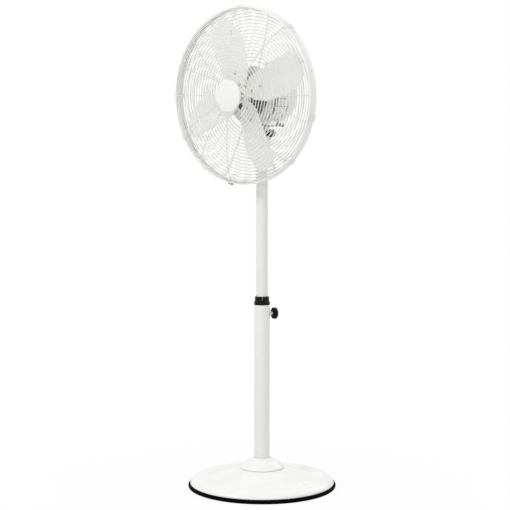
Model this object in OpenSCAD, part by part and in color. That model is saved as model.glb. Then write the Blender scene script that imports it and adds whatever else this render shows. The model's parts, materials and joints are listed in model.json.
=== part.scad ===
// Pedestal fan with a round base, a telescopic column, a tilting and swinging head and a wire guard.
// The origin is on the floor at the column's axis, +Z is up and the fan blows towards -Y.

/* [Base] */
// Outer diameter of the edge ring that the fan stands on
base_d = 364; // [300:4:440]
// Height of the edge ring
ring_h = 10; // [8:1:14]
// Radial width of the edge ring
ring_w = 14; // [12:1:20]
// Height of the base cover's centre above the floor
cover_h = 46; // [44:1:62]
// Sheet thickness of the base cover
cover_t = 1.4; // [1:0.1:2]
// Width of the raised roll around the base cover
roll_w = 38; // [32:1:42]
// Thickness of the cast weight's plate
weight_t = 15; // [8:1:16]
// Foot diameter of the column flange
flange_d = 108; // [90:2:124]
// Height of the column flange
flange_h = 26; // [20:1:30]

/* [Column] */
// Outer diameter of the lower tube
lower_d = 38; // [36:0.5:46]
// Outer diameter of the sliding upper tube
upper_d = 29; // [25:0.5:31]
// Wall thickness of both tubes
tube_t = 1.2; // [1:0.1:1.5]
// Length of the lower tube
lower_l = 400; // [330:5:480]
// Length of the upper tube
upper_l = 466; // [400:5:560]
// Length of upper tube that stays in the lower tube when raised
insert_l = 80; // [75:1:120]
// Height of the black collar above the lower tube
collar_h = 21; // [16:1:30]
// Diameter of the height clamp's knob
clamp_d = 29; // [24:1:36]
// Bearing of the clamp, from the back towards the right side
clamp_angle = 23; // [0:1:60]

/* [Head] */
// Height of the fan's axis above the tilt hinge
axis_rise = 91; // [88:1:110]
// Distance from the top of the upper tube to the tilt hinge
hinge_rise = 33; // [31:1:45]
// Outer diameter of the motor housing
motor_d = 124; // [124:1:130]
// Distance from the column's axis forward to the guard's seat on the motor
seat_z = 32; // [30:1:33]
// Angle that the head leans forward at rest
rest_tilt = 4; // [0:0.5:8]

/* [Guard] */
// Outer diameter of the rim band
guard_d = 422; // [420:2:520]
// Width of the rim band
band_w = 24; // [22:1:30]
// Distance from the column's axis forward to the middle of the rim band
rim_z = 66; // [62:1:72]
// Distance from the middle of the rim band to the front plate's back
front_depth = 51; // [50:0.5:75]
// Diameter of the badge at the front
badge_d = 75; // [70:1:90]
// Thickness of a guard ring's wire
ring_wire = 2; // [1.6:0.1:2.4]
// Thickness of a guard strut's wire
strut_wire = 2.5; // [2:0.1:3]
// Thickness of the two edge wires inside the rim band
edge_wire = 4.4; // [4:0.1:5]
// Distance between neighbouring rings along the guard
ring_pitch = 8; // [7:0.5:12]

/* [Blades] */
// Tip diameter of the blades
blade_d = 377; // [320:1:380]
// Thickness of the blade sheet
blade_t = 1.2; // [1:0.1:1.6]
// Pitch of the blades
blade_pitch = 12; // [10:1:20]
// Distance from the column's axis forward to the blades
blade_z = 66; // [60:1:68]
// Angle of the first blade above the horizontal
blade_turn = 20; // [0:1:89]

/* [Swing drive] */
// Distance of the crank pin from its shaft
crank_r = 12.3; // [12:0.05:12.6]
// Distance of the link's stud from the swing axis
stud_r = 18; // [17.8:0.1:18.5]
// Travel of the swing clutch's knob
clutch_travel = 6; // [4:0.5:7]

/* [Fits] */
// Radial clearance of a shaft that turns in its bore
run = 0.05; // [0.03:0.01:0.1]
// Radial clearance of the sliding upper tube
slip = 0.08; // [0.04:0.01:0.1]
// Gap between pieces that lie beside each other
near = 0.1; // [0.05:0.05:0.2]

/* [Hidden] */

eps = 0.01;
press = 0.02;
many = 96;
fine = 40;

// base
base_r = base_d / 2;
ring_round = ring_h / 2;
skirt_r = base_r - ring_w - near;
ledge_r = base_r - ring_round;
ledge_z = ring_h + near;
roll_h = 16.5;
crease_r = ledge_r - roll_w - 13;
crease_z = ledge_z + cover_t + roll_h - 2.6;
foot_r = flange_d / 2;
flange_z = cover_h;
flange_web = 3.4;
lip_r = lower_d / 2 + 6;
bolt_r = 5;
washer_t = 2;
head_t = 7;
weight_z = head_t + washer_t + 3;
boss_r = 30;
plug_h = 20;

// column
lower_r = lower_d / 2;
upper_r = upper_d / 2;
lower_in = lower_r - tube_t;
upper_in = upper_r - tube_t;
lower_z = flange_z + flange_web;
lower_top = lower_z + lower_l;
upper_z = lower_top - insert_l;
upper_top = upper_z + upper_l;
sleeve_h = 12;
clamp_z = lower_top - 22;
clamp_screw_r = 4;
clamp_knob_in = lower_r + 9.5;
clamp_knob_t = 11;
bush_h = insert_l - 40;
bush_lip = 3;

// tilt hinge
pivot_z = upper_top + hinge_rise;
socket_r = upper_r + 2.6;
socket_h = 17;
web_t = 8;
ear_r = 12;
ear_t = 5.7;
lug_w = 19.4;
ear_x = lug_w / 2 + 0.3;
tilt_r = 4;
tilt_knob_x = ear_x + ear_t + 1;
tilt_knob_d = 19;
tilt_knob_t = 14;

// neck and swing axis
barrel_r = 8.6;
barrel_top = pivot_z + 22;
pin_r = 5.5;
pin_z = pivot_z + 10.3;
arm_z = pivot_z + 13.1;
arm_t = 3;
link_z = arm_z + arm_t + 0.3;
link_t = 3;
link_w = 6.4;
eye_r = 5.5;
stud_wire = 2.5;
washer_h = 0.5;
block_z = barrel_top + washer_h + near;

// head, in its own frame: x to the right, y up and z forward from the column's axis
axis_z = pivot_z + axis_rise;
motor_r = motor_d / 2;
shell_t = 2;
boss_front = seat_z + 8;
nose_r = 46;
split_z = -34;
bell_t = 3;
cover_front = split_z - bell_t;
cover_end = -80;
cover_round = 20;
cover_wall = 1.8;
stator_r = 54;
stator_front = 10;
stator_back = -18;
bore_r = 24;
air_gap = 0.4;
shaft_r = 4;
tail_r = 2.5;
bearing_r = 11;
bearing_w = 8;
motor_screw_at = 57;
motor_screw_r = 1.8;
guard_screw_l = 12;
guard_screw_r = 2;
guard_screw_at = 54;

// worm drive: places are x and z in the head's frame, heights are y
worm_z = -57;
worm_r = 3.9;
worm_throw = 0.7;
worm_pitch = 2.6;
wheel_teeth = 30;
wheel_rp = wheel_teeth * worm_pitch / (2 * PI);
wheel_x = -(worm_r + wheel_rp + 0.3);
wheel_t = 5;
pinion_teeth = 12;
crank_teeth = 36;
gear_module = 0.9167;
pinion_rp = gear_module * pinion_teeth / 2;
crank_rp = gear_module * crank_teeth / 2;
crank_x = wheel_x + pinion_rp + crank_rp;
gear_y = -38;
gear_t = 6;
gear_shaft_r = 3;
clutch_r = 2.5;
floor_y = -46;
shelf_t = 3;
middle_y = -32;
top_y = 9;
crank_disc_z = link_z + link_t + 0.7;
crank_disc_t = 3.5;
knob_y = motor_r + 7;
switch_y = 26;
speed_shaft_r = 3;
gland_y = -30;
gland_r = 6;

// four-bar linkage, seen from above in the object's frame
crank_at = [crank_x, -worm_z];
arm_turn = atan2(crank_at[1], crank_at[0]) - 90;
stud_at = stud_r * [cos(arm_turn), sin(arm_turn)];
span = norm(crank_at - stud_at);
span_turn = atan2(stud_at[1] - crank_at[1], stud_at[0] - crank_at[0]);
crank_turn = span_turn + acos(crank_r / span);
pin_at = crank_at + crank_r * [cos(crank_turn), sin(crank_turn)];
open_pivot_gap = 2.05;

// guard
guard_r = guard_d / 2;
band_t = 1.2;
band_lip = 4.5;
bow = 2.2;
edge_r = guard_r - band_t - 0.2 - edge_wire / 2;
edge_gap = 0.6;
front_edge_z = rim_z + band_w / 2 - band_t - edge_gap - edge_wire / 2;
rear_edge_z = rim_z - band_w / 2 + band_t + edge_gap + edge_wire / 2;
strut_r = edge_r - edge_wire / 2 - strut_wire / 2 - near;
plate_t = 2;
plate_in = 49;
plate_out = 72;
plate_front = seat_z + near + plate_t;
front_plate_z = rim_z + front_depth;
front_plate_r = badge_d / 2 + 1;
front_plate_t = 3;
badge_t = 4;
ring_off = (ring_wire + strut_wire) / 2 + near;
front_in = 24;
rear_in = 64;
rear_turns = [for (i = [0:7]) 22.5 + 45 * i];
front_turns = [88, 46, -3, -50, -100, -130, -155, 176, 132];
clip_turns = [88, 46, -17, -50, -127, -155, 176];
clip_w = 14;
split_turn = -104;
lug_out = 6;

// blades, in the blade's own frame: x along the blade, y across it and z through it
blade_n = 4;
bend_r = 360;
arm_sheet = 2.4;
rivet_r = 2.4;
rivet_at = [30, 60];
tip_r = blade_d / 2;
paddle = [
    [32, -13, 10], [62, -29, 10], [tip_r - 58, -14, 35], [tip_r - 28, -10, 27.5],
    [tip_r - 21.5, 17, 21], [46, 22, 10.5], [32, 13, 10]
];
arm_outline = [[8, -10, 3], [66, -7, 5], [66, 7, 5], [8, 10, 3]];
hub_r = 15;
hub_back = blade_z - 14;
hub_front = blade_z + 8;

// Direction of the outward normal on the line that touches circles a and b, each [x, y, radius]
function touch_turn(a, b) =
    let (step = [b[0] - a[0], b[1] - a[1]])
    atan2(step[1], step[0]) - 90 + asin((a[2] - b[2]) / norm(step));

// Outline drawn tightly around a ring of circles, listed anticlockwise
function wrap(discs, steps = 6) = [
    for (i = [0:len(discs) - 1])
    let (
        c = discs[i],
        first = touch_turn(discs[(i + len(discs) - 1) % len(discs)], c),
        raw = touch_turn(c, discs[(i + 1) % len(discs)]),
        last = raw < first ? raw + 360 : raw
    )
    for (k = [0:steps])
    let (a = first + (last - first) * k / steps)
    [c[0] + c[2] * cos(a), c[1] + c[2] * sin(a)]
];

// Points of an arc in a revolved outline
function arc(x, y, rx, ry, from, to, steps = 8) = [
    for (k = [0:steps])
    let (a = from + (to - from) * k / steps)
    [x + rx * cos(a), y + ry * sin(a)]
];

// How far a guard has risen at radius r, as a share of its full depth
function rise(r) = pow(1 - pow(r / strut_r, bow), 1 / bow);
function fall(r) = -pow(1 - pow(r / strut_r, bow), 1 / bow - 1) * pow(r / strut_r, bow) / r;

// Strut radii a ring's pitch apart, from r inwards to stop
function stations(r, stop, depth) = r < stop ? [] :
    concat([r], stations(r - ring_pitch / sqrt(1 + pow(depth * fall(r), 2)), stop, depth));

front_deep = front_plate_z - strut_wire / 2 - near - front_edge_z;
rear_deep = (rear_edge_z - plate_front - strut_wire / 2 - near) / rise(rear_in);

// Outline of a gear with straight-sided teeth
function gear_outline(teeth, m) =
    let (pitch = 360 / teeth, root = m * teeth / 2 - 1.05 * m, tip = m * teeth / 2 + 0.75 * m)
    [
        for (i = [0:teeth - 1])
        for (p = [[root, -0.3], [tip, -0.12], [tip, 0.12], [root, 0.3]])
        p[0] * [cos((i + p[1]) * pitch), sin((i + p[1]) * pitch)]
    ];

// Leans children forward about the tilt hinge to the head's angle at rest
module tilted() {
    translate([0, 0, pivot_z]) rotate([rest_tilt, 0, 0]) translate([0, 0, -pivot_z]) children();
}

// Places children in the head's frame before it is tilted: x right, y up, z forward
module level_head() {
    translate([0, 0, axis_z]) rotate([90, 0, 0]) children();
}

// Places children in the head's frame
module head() {
    tilted() level_head() children();
}

// Lays children, drawn upright about z, along the head's vertical direction at x and z
module upright(x, z, y) {
    translate([x, y, z]) rotate([-90, 0, 0]) children();
}

module ring(r_in, r_out, h, facets = many) {
    difference() {
        cylinder(r = r_out, h = h, $fn = facets);
        translate([0, 0, -1]) cylinder(r = r_in, h = h + 2, $fn = facets);
    }
}

module revolve(points) {
    rotate_extrude($fn = many) polygon(points);
}

// ---- base ----

module base_edge_ring() {
    color([0.06, 0.06, 0.06])
    revolve(concat(
        [[base_r - ring_w, ring_h], [base_r - ring_w, 0]],
        arc(ledge_r, ring_round, ring_round, ring_round, -90, 90, 10)
    ));
}

// Height of the cover between the flange's foot and the crease
function dome_z(r) = cover_h - (cover_h - crease_z - 0.7) * pow((r - foot_r) / (crease_r - foot_r), 1.25);

module base_cover() {
    steps = [for (k = [0:6]) crease_r - 2 - (crease_r - 2 - foot_r) * k / 6];
    roll_x = ledge_r - roll_w;
    roll_z = ledge_z + cover_t;
    hole = bolt_r + 1;
    color([0.93, 0.93, 0.91])
    revolve(concat(
        [[skirt_r, 4], [skirt_r, ledge_z], [ledge_r, ledge_z]],
        arc(roll_x, roll_z, roll_w, roll_h, 0, 100, 10),
        [[crease_r, crease_z]],
        [for (r = steps) [r, dome_z(r)]],
        [[hole, cover_h], [hole, cover_h - cover_t]],
        [for (k = [6:-1:0]) [steps[k], dome_z(steps[k]) - cover_t]],
        [[crease_r, crease_z - cover_t]],
        arc(roll_x, roll_z, roll_w - cover_t, roll_h - cover_t, 100, 0, 10),
        [[skirt_r - cover_t, roll_z], [skirt_r - cover_t, 4]]
    ));
}

module base_weight() {
    plate_r = crease_r - 22;
    color([0.2, 0.2, 0.21])
    revolve([
        [bolt_r + 0.3, weight_z], [plate_r, weight_z], [plate_r, weight_z + weight_t - 3],
        [plate_r - 6, weight_z + weight_t], [boss_r + 6, weight_z + weight_t],
        [boss_r, weight_z + weight_t + 6], [boss_r, cover_h - cover_t],
        [bolt_r + 0.3, cover_h - cover_t]
    ]);
}

module column_flange() {
    slope = [
        for (k = [0:8])
        let (u = k / 8, r = foot_r - (foot_r - lip_r - 2) * u)
        [r, flange_z + 3 + (flange_h - 7) * (1 - pow(1 - u, 1.7))]
    ];
    color([0.93, 0.93, 0.91])
    difference() {
        revolve(concat(
            [[bolt_r + 0.3, flange_z], [foot_r - 2.5, flange_z]],
            slope,
            [
                [lip_r, flange_z + flange_h - 1], [lip_r - 1.5, flange_z + flange_h],
                [lower_r + near, flange_z + flange_h], [lower_r + near, flange_z + flange_web],
                [bolt_r + 0.3, flange_z + flange_web]
            ]
        ));
        translate([0, lower_r - 2, flange_z + 12]) rotate([-90, 0, 0]) cylinder(r = 3, h = 60, $fn = fine);
        translate([0, lip_r + 6, flange_z + 12]) rotate([-90, 0, 0]) cylinder(r = 5.5, h = 60, $fn = fine);
    }
}

module flange_screw() {
    color([0.6, 0.6, 0.6])
    translate([0, 0, flange_z + 12]) rotate([-90, 0, 0])
    difference() {
        union() {
            translate([0, 0, lower_r + near]) cylinder(r = 3 - press, h = lip_r + 8 - lower_r, $fn = fine);
            translate([0, 0, lip_r + 6]) cylinder(r = 5, h = 3.5, $fn = fine);
        }
        translate([0, 0, lip_r + 7.5]) cylinder(r = 2, h = 5, $fn = 6);
    }
}

module base_bolt() {
    color([0.6, 0.6, 0.62])
    union() {
        translate([0, 0, weight_z - washer_t - head_t]) cylinder(r = 9.8, h = head_t, $fn = 6);
        translate([0, 0, weight_z - washer_t - eps])
            cylinder(r = bolt_r, h = lower_z + plug_h - 2 - weight_z + washer_t, $fn = fine);
    }
}

module base_washer() {
    color([0.7, 0.7, 0.7])
    translate([0, 0, weight_z - washer_t]) ring(bolt_r + 0.3, 15, washer_t, fine);
}

module tube_plug() {
    color([0.55, 0.55, 0.56])
    translate([0, 0, lower_z]) ring(bolt_r + press, lower_in - press, plug_h, fine);
}

module lower_tube() {
    color([0.93, 0.93, 0.91])
    difference() {
        translate([0, 0, lower_z]) ring(lower_in, lower_r, lower_l);
        clamp_axis() cylinder(r = clamp_screw_r + 0.3, h = 60, $fn = fine);
    }
}

// ---- height clamp ----

// Places children with z along the clamp's axis, starting at the column's axis
module clamp_axis() {
    translate([0, 0, clamp_z]) rotate([0, 0, -clamp_angle]) rotate([-90, 0, 0]) children();
}

module clamp_boss() {
    color([0.93, 0.93, 0.91])
    difference() {
        clamp_axis() translate([0, 0, lower_r - 3]) cylinder(r = 8, h = 6.5, $fn = fine);
        translate([0, 0, clamp_z - 20]) cylinder(r = lower_r + press, h = 40, $fn = many);
        clamp_axis() cylinder(r = clamp_screw_r + run, h = 60, $fn = fine);
    }
}

module clamp_screw() {
    color([0.6, 0.6, 0.62])
    clamp_axis() translate([0, 0, upper_r + 0.4])
        cylinder(r = clamp_screw_r, h = clamp_knob_in + 7 - upper_r - 0.4, $fn = fine);
}

module clamp_knob() {
    color([0.05, 0.05, 0.05])
    clamp_axis() translate([0, 0, clamp_knob_in])
    difference() {
        union() {
            cylinder(r = 7, h = 3, $fn = fine);
            translate([0, 0, 2]) cylinder(r = clamp_d / 2, h = clamp_knob_t - 2, $fn = fine);
        }
        translate([0, 0, -1]) cylinder(r = clamp_screw_r, h = 8, $fn = fine);
        for (a = [0:45:315]) rotate([0, 0, a])
            translate([clamp_d / 2 + 2.2, 0, -1]) cylinder(r = 4, h = clamp_knob_t + 2, $fn = 24);
    }
}

module height_collar() {
    cap_r = lower_r + 0.4;
    neck_r = upper_r + 3;
    step_z = lower_top + collar_h * 0.45;
    color([0.05, 0.05, 0.05])
    difference() {
        revolve([
            [upper_r + slip, lower_top - sleeve_h], [lower_in - press, lower_top - sleeve_h],
            [lower_in - press, lower_top], [cap_r, lower_top], [cap_r, step_z - 1],
            [cap_r - 1, step_z], [neck_r + 0.6, step_z], [neck_r, step_z + 1],
            [neck_r, lower_top + collar_h - 1.2], [neck_r - 1.2, lower_top + collar_h],
            [upper_r + slip, lower_top + collar_h]
        ]);
        for (a = [0:60:300]) rotate([0, 0, a + 12])
            translate([upper_r - 2, -0.8, step_z + 2]) cube([8, 1.6, collar_h]);
    }
}

// ---- mast ----

module upper_tube() {
    color([0.93, 0.93, 0.92])
    translate([0, 0, upper_z]) ring(upper_in, upper_r, upper_l);
}

module glide_bush() {
    color([0.85, 0.85, 0.8])
    revolve([
        [upper_in, upper_z - bush_lip], [lower_in - slip, upper_z - bush_lip],
        [lower_in - slip, upper_z + bush_h], [upper_r + press, upper_z + bush_h],
        [upper_r + press, upper_z], [upper_in, upper_z]
    ]);
}

module tilt_yoke() {
    color([0.93, 0.93, 0.91])
    difference() {
        union() {
            translate([0, 0, upper_top - socket_h])
                cylinder(r = socket_r, h = socket_h + 3 + web_t, $fn = many);
            for (x = [-ear_x - ear_t, ear_x]) translate([x, 0, 0]) rotate([90, 0, 90])
                linear_extrude(ear_t)
                polygon(wrap([
                    [-11, upper_top + 3, 1], [11, upper_top + 3, 1], [0, pivot_z, ear_r]
                ], 12));
        }
        translate([0, 0, upper_top - socket_h - 1])
            cylinder(r = upper_r + press, h = socket_h + 1, $fn = many);
        translate([-40, 0, pivot_z]) rotate([0, 90, 0]) cylinder(r = tilt_r + run, h = 80, $fn = fine);
    }
}

module tilt_nut() {
    color([0.6, 0.6, 0.62])
    translate([-ear_x - ear_t - 4, 0, pivot_z]) rotate([0, 90, 0])
    difference() {
        cylinder(r = 7, h = 4, $fn = 6);
        translate([0, 0, -1]) cylinder(r = tilt_r + run, h = 6, $fn = fine);
    }
}

module tilt_bolt() {
    color([0.6, 0.6, 0.62])
    translate([-ear_x - ear_t - 5.5, 0, pivot_z]) rotate([0, 90, 0])
        cylinder(r = tilt_r, h = 2 * ear_x + 2 * ear_t + 15.5, $fn = fine);
}

module tilt_knob() {
    color([0.05, 0.05, 0.05])
    translate([tilt_knob_x, 0, pivot_z]) rotate([0, 90, 0])
    difference() {
        union() {
            cylinder(r = 6.5, h = 7, $fn = fine);
            translate([0, 0, 6]) cylinder(r = tilt_knob_d / 2, h = tilt_knob_t, $fn = fine);
        }
        translate([0, 0, -1]) cylinder(r = tilt_r, h = 10, $fn = fine);
        for (a = [0:60:300]) rotate([0, 0, a])
            translate([tilt_knob_d / 2 + 1.6, 0, 8]) cylinder(r = 3, h = 20, $fn = 24);
    }
}

// ---- neck ----

module neck() {
    color([0.9, 0.9, 0.88])
    tilted() difference() {
        union() {
            translate([-lug_w / 2, 0, pivot_z]) rotate([0, 90, 0]) cylinder(r = ear_r, h = lug_w, $fn = many);
            translate([0, 0, pivot_z + 4]) cylinder(r = barrel_r, h = barrel_top - pivot_z - 4, $fn = many);
            translate([0, 0, arm_z]) linear_extrude(arm_t)
                polygon(wrap([[0, 0, barrel_r + 1], [stud_at[0], stud_at[1], eye_r - 0.5]], 12));
        }
        translate([-20, 0, pivot_z]) rotate([0, 90, 0]) cylinder(r = tilt_r + run, h = 40, $fn = fine);
        translate([0, 0, pin_z - 0.3]) cylinder(r = pin_r + run, h = 30, $fn = fine);
        translate([stud_at[0], stud_at[1], arm_z - 1]) cylinder(r = stud_wire, h = arm_t + 2, $fn = fine);
    }
}

module neck_stud() {
    color([0.35, 0.35, 0.36])
    tilted() translate([stud_at[0], stud_at[1], arm_z]) union() {
        cylinder(r = stud_wire, h = arm_t + link_t + 0.6, $fn = fine);
        translate([0, 0, arm_t + link_t + 0.5]) cylinder(r = 4, h = 1.2, $fn = fine);
    }
}

module swing_washer() {
    color([0.1, 0.1, 0.1])
    tilted() translate([0, 0, barrel_top]) ring(pin_r + 0.3, barrel_r + 3, washer_h, fine);
}

module crank_link() {
    color([0.3, 0.3, 0.31])
    tilted() translate([0, 0, link_z])
    difference() {
        union() {
            linear_extrude(link_t) polygon(wrap([
                [stud_at[0], stud_at[1], link_w / 2], [pin_at[0], pin_at[1], link_w / 2]
            ], 8));
            translate([stud_at[0], stud_at[1], 0]) cylinder(r = eye_r, h = link_t, $fn = fine);
            translate([pin_at[0], pin_at[1], 0]) cylinder(r = eye_r + 1.5, h = link_t, $fn = fine);
        }
        translate([stud_at[0], stud_at[1], -1]) cylinder(r = stud_wire + run, h = 5, $fn = fine);
        translate([pin_at[0], pin_at[1], -1]) cylinder(r = stud_wire + open_pivot_gap, h = 5, $fn = fine);
    }
}

// ---- motor ----

module swing_pin() {
    color([0.6, 0.6, 0.62])
    tilted() translate([0, 0, pin_z]) cylinder(r = pin_r, h = axis_z - motor_r - 0.5 - pin_z, $fn = fine);
}

module swing_block() {
    color([0.9, 0.9, 0.88])
    tilted() difference() {
        translate([0, 0, block_z]) linear_extrude(motor_r)
            polygon(wrap([[-12, -13, 5], [12, -13, 5], [12, 13, 5], [-12, 13, 5]]));
        level_head() translate([0, 0, -60]) cylinder(r = motor_r + 0.05, h = 120, $fn = many);
        translate([0, 0, block_z - 1]) cylinder(r = pin_r + press, h = 30, $fn = fine);
    }
}

module motor_shell() {
    inner = motor_r - shell_t;
    seat_in = stator_r - 4;
    color([0.62, 0.6, 0.57])
    head() difference() {
        revolve([
            [motor_r, split_z], [motor_r, seat_z - 4], [motor_r - 4, seat_z], [nose_r, seat_z],
            [nose_r, boss_front - 2], [nose_r - 2, boss_front], [shaft_r + 1, boss_front],
            [shaft_r + 1, boss_front - 5], [bearing_r, boss_front - 5],
            [bearing_r, boss_front - 14], [bearing_r + 3, boss_front - 14],
            [bearing_r + 3, boss_front - 3.5], [nose_r - shell_t, boss_front - 3.5],
            [nose_r - shell_t, seat_z - 2.5], [seat_in, seat_z - 2.5],
            [seat_in, stator_front], [inner, stator_front], [inner, split_z]
        ]);
        // long vents around the side
        for (a = [0:18:342]) rotate([0, 0, a + 9])
            translate([stator_r + 2, -1.6, -28]) cube([12, 3.2, 36]);
        // vents in the nose's face
        for (a = [0:30:330]) rotate([0, 0, a])
            translate([20, -1.7, boss_front - 4.5]) cube([18, 3.4, 8]);
        motor_screw_places() translate([0, 0, split_z - 1])
            cylinder(r = motor_screw_r + press, h = 50, $fn = fine);
        guard_screw_places() translate([0, 0, seat_z - guard_screw_l])
            cylinder(r = guard_screw_r + press, h = 30, $fn = fine);
    }
}

module motor_screw_places() {
    for (a = [45:90:315]) rotate([0, 0, a]) translate([motor_screw_at, 0, 0]) children();
}

module guard_screw_places() {
    for (a = [0:90:270]) rotate([0, 0, a]) translate([guard_screw_at, 0, 0]) children();
}

module motor_rear_cover() {
    round_z = cover_end + cover_round;
    flat_r = motor_r - cover_round;
    color([0.93, 0.93, 0.91])
    head() difference() {
        revolve(concat(
            [[0, cover_end]],
            arc(flat_r, round_z, cover_round, cover_round, -90, 0, 10),
            [[motor_r, cover_front], [motor_r - cover_wall, cover_front]],
            arc(flat_r, round_z, cover_round - cover_wall, cover_round - cover_wall, 0, -90, 10),
            [[0, cover_end + cover_wall]]
        ));
        translate([0, switch_y, cover_end - 1]) cylinder(r = speed_shaft_r + 0.4, h = 5, $fn = fine);
        translate([0, gland_y, cover_end - 1]) cylinder(r = gland_r + press, h = 5, $fn = fine);
        upright(wheel_x, worm_z, 30) cylinder(r = clutch_r + 0.7, h = 40, $fn = fine);
        upright(crank_x, worm_z, -70) cylinder(r = gear_shaft_r + 1.5, h = 20, $fn = fine);
        for (x = [-24:6:24]) translate([x - 1.2, -8, cover_end - 1]) cube([2.4, 20, 5]);
    }
}

module rear_bell() {
    color([0.6, 0.6, 0.61])
    head() difference() {
        revolve([
            [tail_r + 3, cover_front], [motor_r, cover_front], [motor_r, split_z],
            [stator_r - 0.2, split_z], [stator_r - 0.2, stator_back], [stator_r - 4, stator_back],
            [stator_r - 4, split_z], [bearing_r + 4, split_z], [bearing_r + 4, split_z + 8],
            [bearing_r, split_z + 8], [bearing_r, split_z], [tail_r + 3, split_z]
        ]);
        motor_screw_places() translate([0, 0, cover_front - 1])
            cylinder(r = motor_screw_r + press, h = 8, $fn = fine);
    }
}

module stator_core() {
    color([0.4, 0.4, 0.42])
    head() translate([0, 0, stator_back]) difference() {
        ring(bore_r, stator_r, stator_front - stator_back);
        for (a = [0:30:330]) rotate([0, 0, a + 15])
            translate([bore_r - 2, -2, -1]) cube([16, 4, 40]);
    }
}

module stator_coils() {
    color([0.6, 0.3, 0.12])
    head() for (z = [stator_front, stator_back - 11]) translate([0, 0, z])
        revolve([
            [28, 0], [40, 0], [42, 2], [42, 9], [40, 11], [30, 11], [27, 8], [27, 1]
        ]);
}

module motor_bearings() {
    color([0.75, 0.75, 0.76])
    head() for (z = [boss_front - 5 - bearing_w, split_z]) translate([0, 0, z])
        ring(shaft_r + run, bearing_r - 0.01, bearing_w - eps, fine);
}

module motor_screws() {
    color([0.5, 0.5, 0.5])
    head() motor_screw_places() union() {
        translate([0, 0, cover_front - 2.5]) cylinder(r = 3, h = 2.5, $fn = fine);
        translate([0, 0, cover_front - 0.1])
            cylinder(r = motor_screw_r, h = stator_front + 4 - cover_front, $fn = fine);
    }
}

module motor_shaft() {
    color([0.7, 0.7, 0.72])
    head() union() {
        translate([0, 0, split_z - 0.2]) cylinder(r = shaft_r, h = hub_front + 10 - split_z, $fn = fine);
        translate([0, 0, worm_z - 11]) cylinder(r = tail_r, h = split_z - worm_z + 11, $fn = fine);
    }
}

module rotor() {
    color([0.45, 0.45, 0.47])
    head() translate([0, 0, stator_back + 1])
        ring(shaft_r, bore_r - air_gap, stator_front - stator_back - 2, 64);
}

// ---- swing drive ----

module worm() {
    length = 18;
    color([0.7, 0.68, 0.6])
    head() translate([0, 0, worm_z - length / 2]) difference() {
        rotate([0, 0, -180 * length / worm_pitch])
            linear_extrude(length, twist = -360 * length / worm_pitch, slices = 84)
            translate([worm_throw, 0]) circle(r = worm_r, $fn = 20);
        translate([0, 0, -1]) cylinder(r = tail_r, h = length + 2, $fn = fine);
    }
}

module worm_wheel() {
    color([0.92, 0.9, 0.8])
    head() upright(wheel_x, worm_z, 0) difference() {
        union() {
            translate([0, 0, -wheel_t / 2]) linear_extrude(wheel_t)
                polygon([for (k = [0:wheel_teeth * 6 - 1])
                    let (a = k * 60 / wheel_teeth)
                    (wheel_rp + 0.6 * cos(wheel_teeth * a)) * [cos(a), sin(a)]]);
            translate([0, 0, -6]) cylinder(r = 6, h = 13, $fn = fine);
        }
        translate([0, 0, -8]) cylinder(r = clutch_r + run, h = 20, $fn = fine);
    }
}

module pinion_shaft() {
    color([0.6, 0.6, 0.62])
    head() upright(wheel_x, worm_z, 0) union() {
        translate([0, 0, floor_y + 0.2]) cylinder(r = clutch_r, h = -0.7 - floor_y, $fn = fine);
        translate([0, 0, gear_y - gear_t / 2]) linear_extrude(gear_t)
            rotate([0, 0, 180 / pinion_teeth]) polygon(gear_outline(pinion_teeth, gear_module));
        translate([0, 0, middle_y + shelf_t + 0.2])
            cylinder(r = 4.5, h = -6.4 - middle_y - shelf_t, $fn = fine);
    }
}

module crank_gear() {
    disc_y = crank_disc_z - axis_z;
    turn = -crank_turn;
    color([0.5, 0.5, 0.52])
    head() upright(crank_x, worm_z, 0) difference() {
        union() {
            translate([0, 0, gear_y - gear_t / 2]) linear_extrude(gear_t)
                polygon(gear_outline(crank_teeth, gear_module));
            translate([0, 0, disc_y])
                cylinder(r = gear_shaft_r, h = middle_y + shelf_t - 0.2 - disc_y, $fn = fine);
            rotate([0, 0, turn]) translate([0, 0, disc_y]) linear_extrude(crank_disc_t)
                polygon(wrap([[0, 0, 7], [crank_r, 0, 4.5]], 12));
            rotate([0, 0, turn]) translate([crank_r, 0, disc_y - link_t - 1.3])
                cylinder(r = stud_wire, h = link_t + 2, $fn = fine);
            rotate([0, 0, turn]) translate([crank_r, 0, disc_y - link_t - 2.4])
                cylinder(r = 5, h = 1.2, $fn = fine);
        }
        for (a = [0:60:300]) rotate([0, 0, a])
            translate([10, 0, gear_y - gear_t]) cylinder(r = 2.6, h = 2 * gear_t, $fn = 24);
    }
}

// Shelf that carries the gear shafts, from the bell backwards; reach is the shaft that it goes out to
module shelf(y, reach) {
    back = 3 - cover_front;
    upright(0, 0, y) linear_extrude(shelf_t) polygon(wrap([
        [wheel_x + 2, back, 2], [reach, back, 2], [reach, -worm_z, 7.5], [wheel_x, -worm_z, 7]
    ], 8));
}

module gear_frame() {
    wall_x = wheel_x - 1.5;
    color([0.55, 0.55, 0.56])
    head() difference() {
        union() {
            shelf(floor_y, crank_x);
            shelf(middle_y, crank_x);
            shelf(top_y, wheel_x + 6);
            translate([wall_x, floor_y, cover_front - 3.5]) cube([9.5, top_y + shelf_t - floor_y, 3.5]);
        }
        upright(wheel_x, worm_z, floor_y - 1) cylinder(r = clutch_r + run, h = 80, $fn = fine);
        upright(crank_x, worm_z, floor_y - 1) cylinder(r = gear_shaft_r + run, h = 20, $fn = fine);
    }
}

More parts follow.
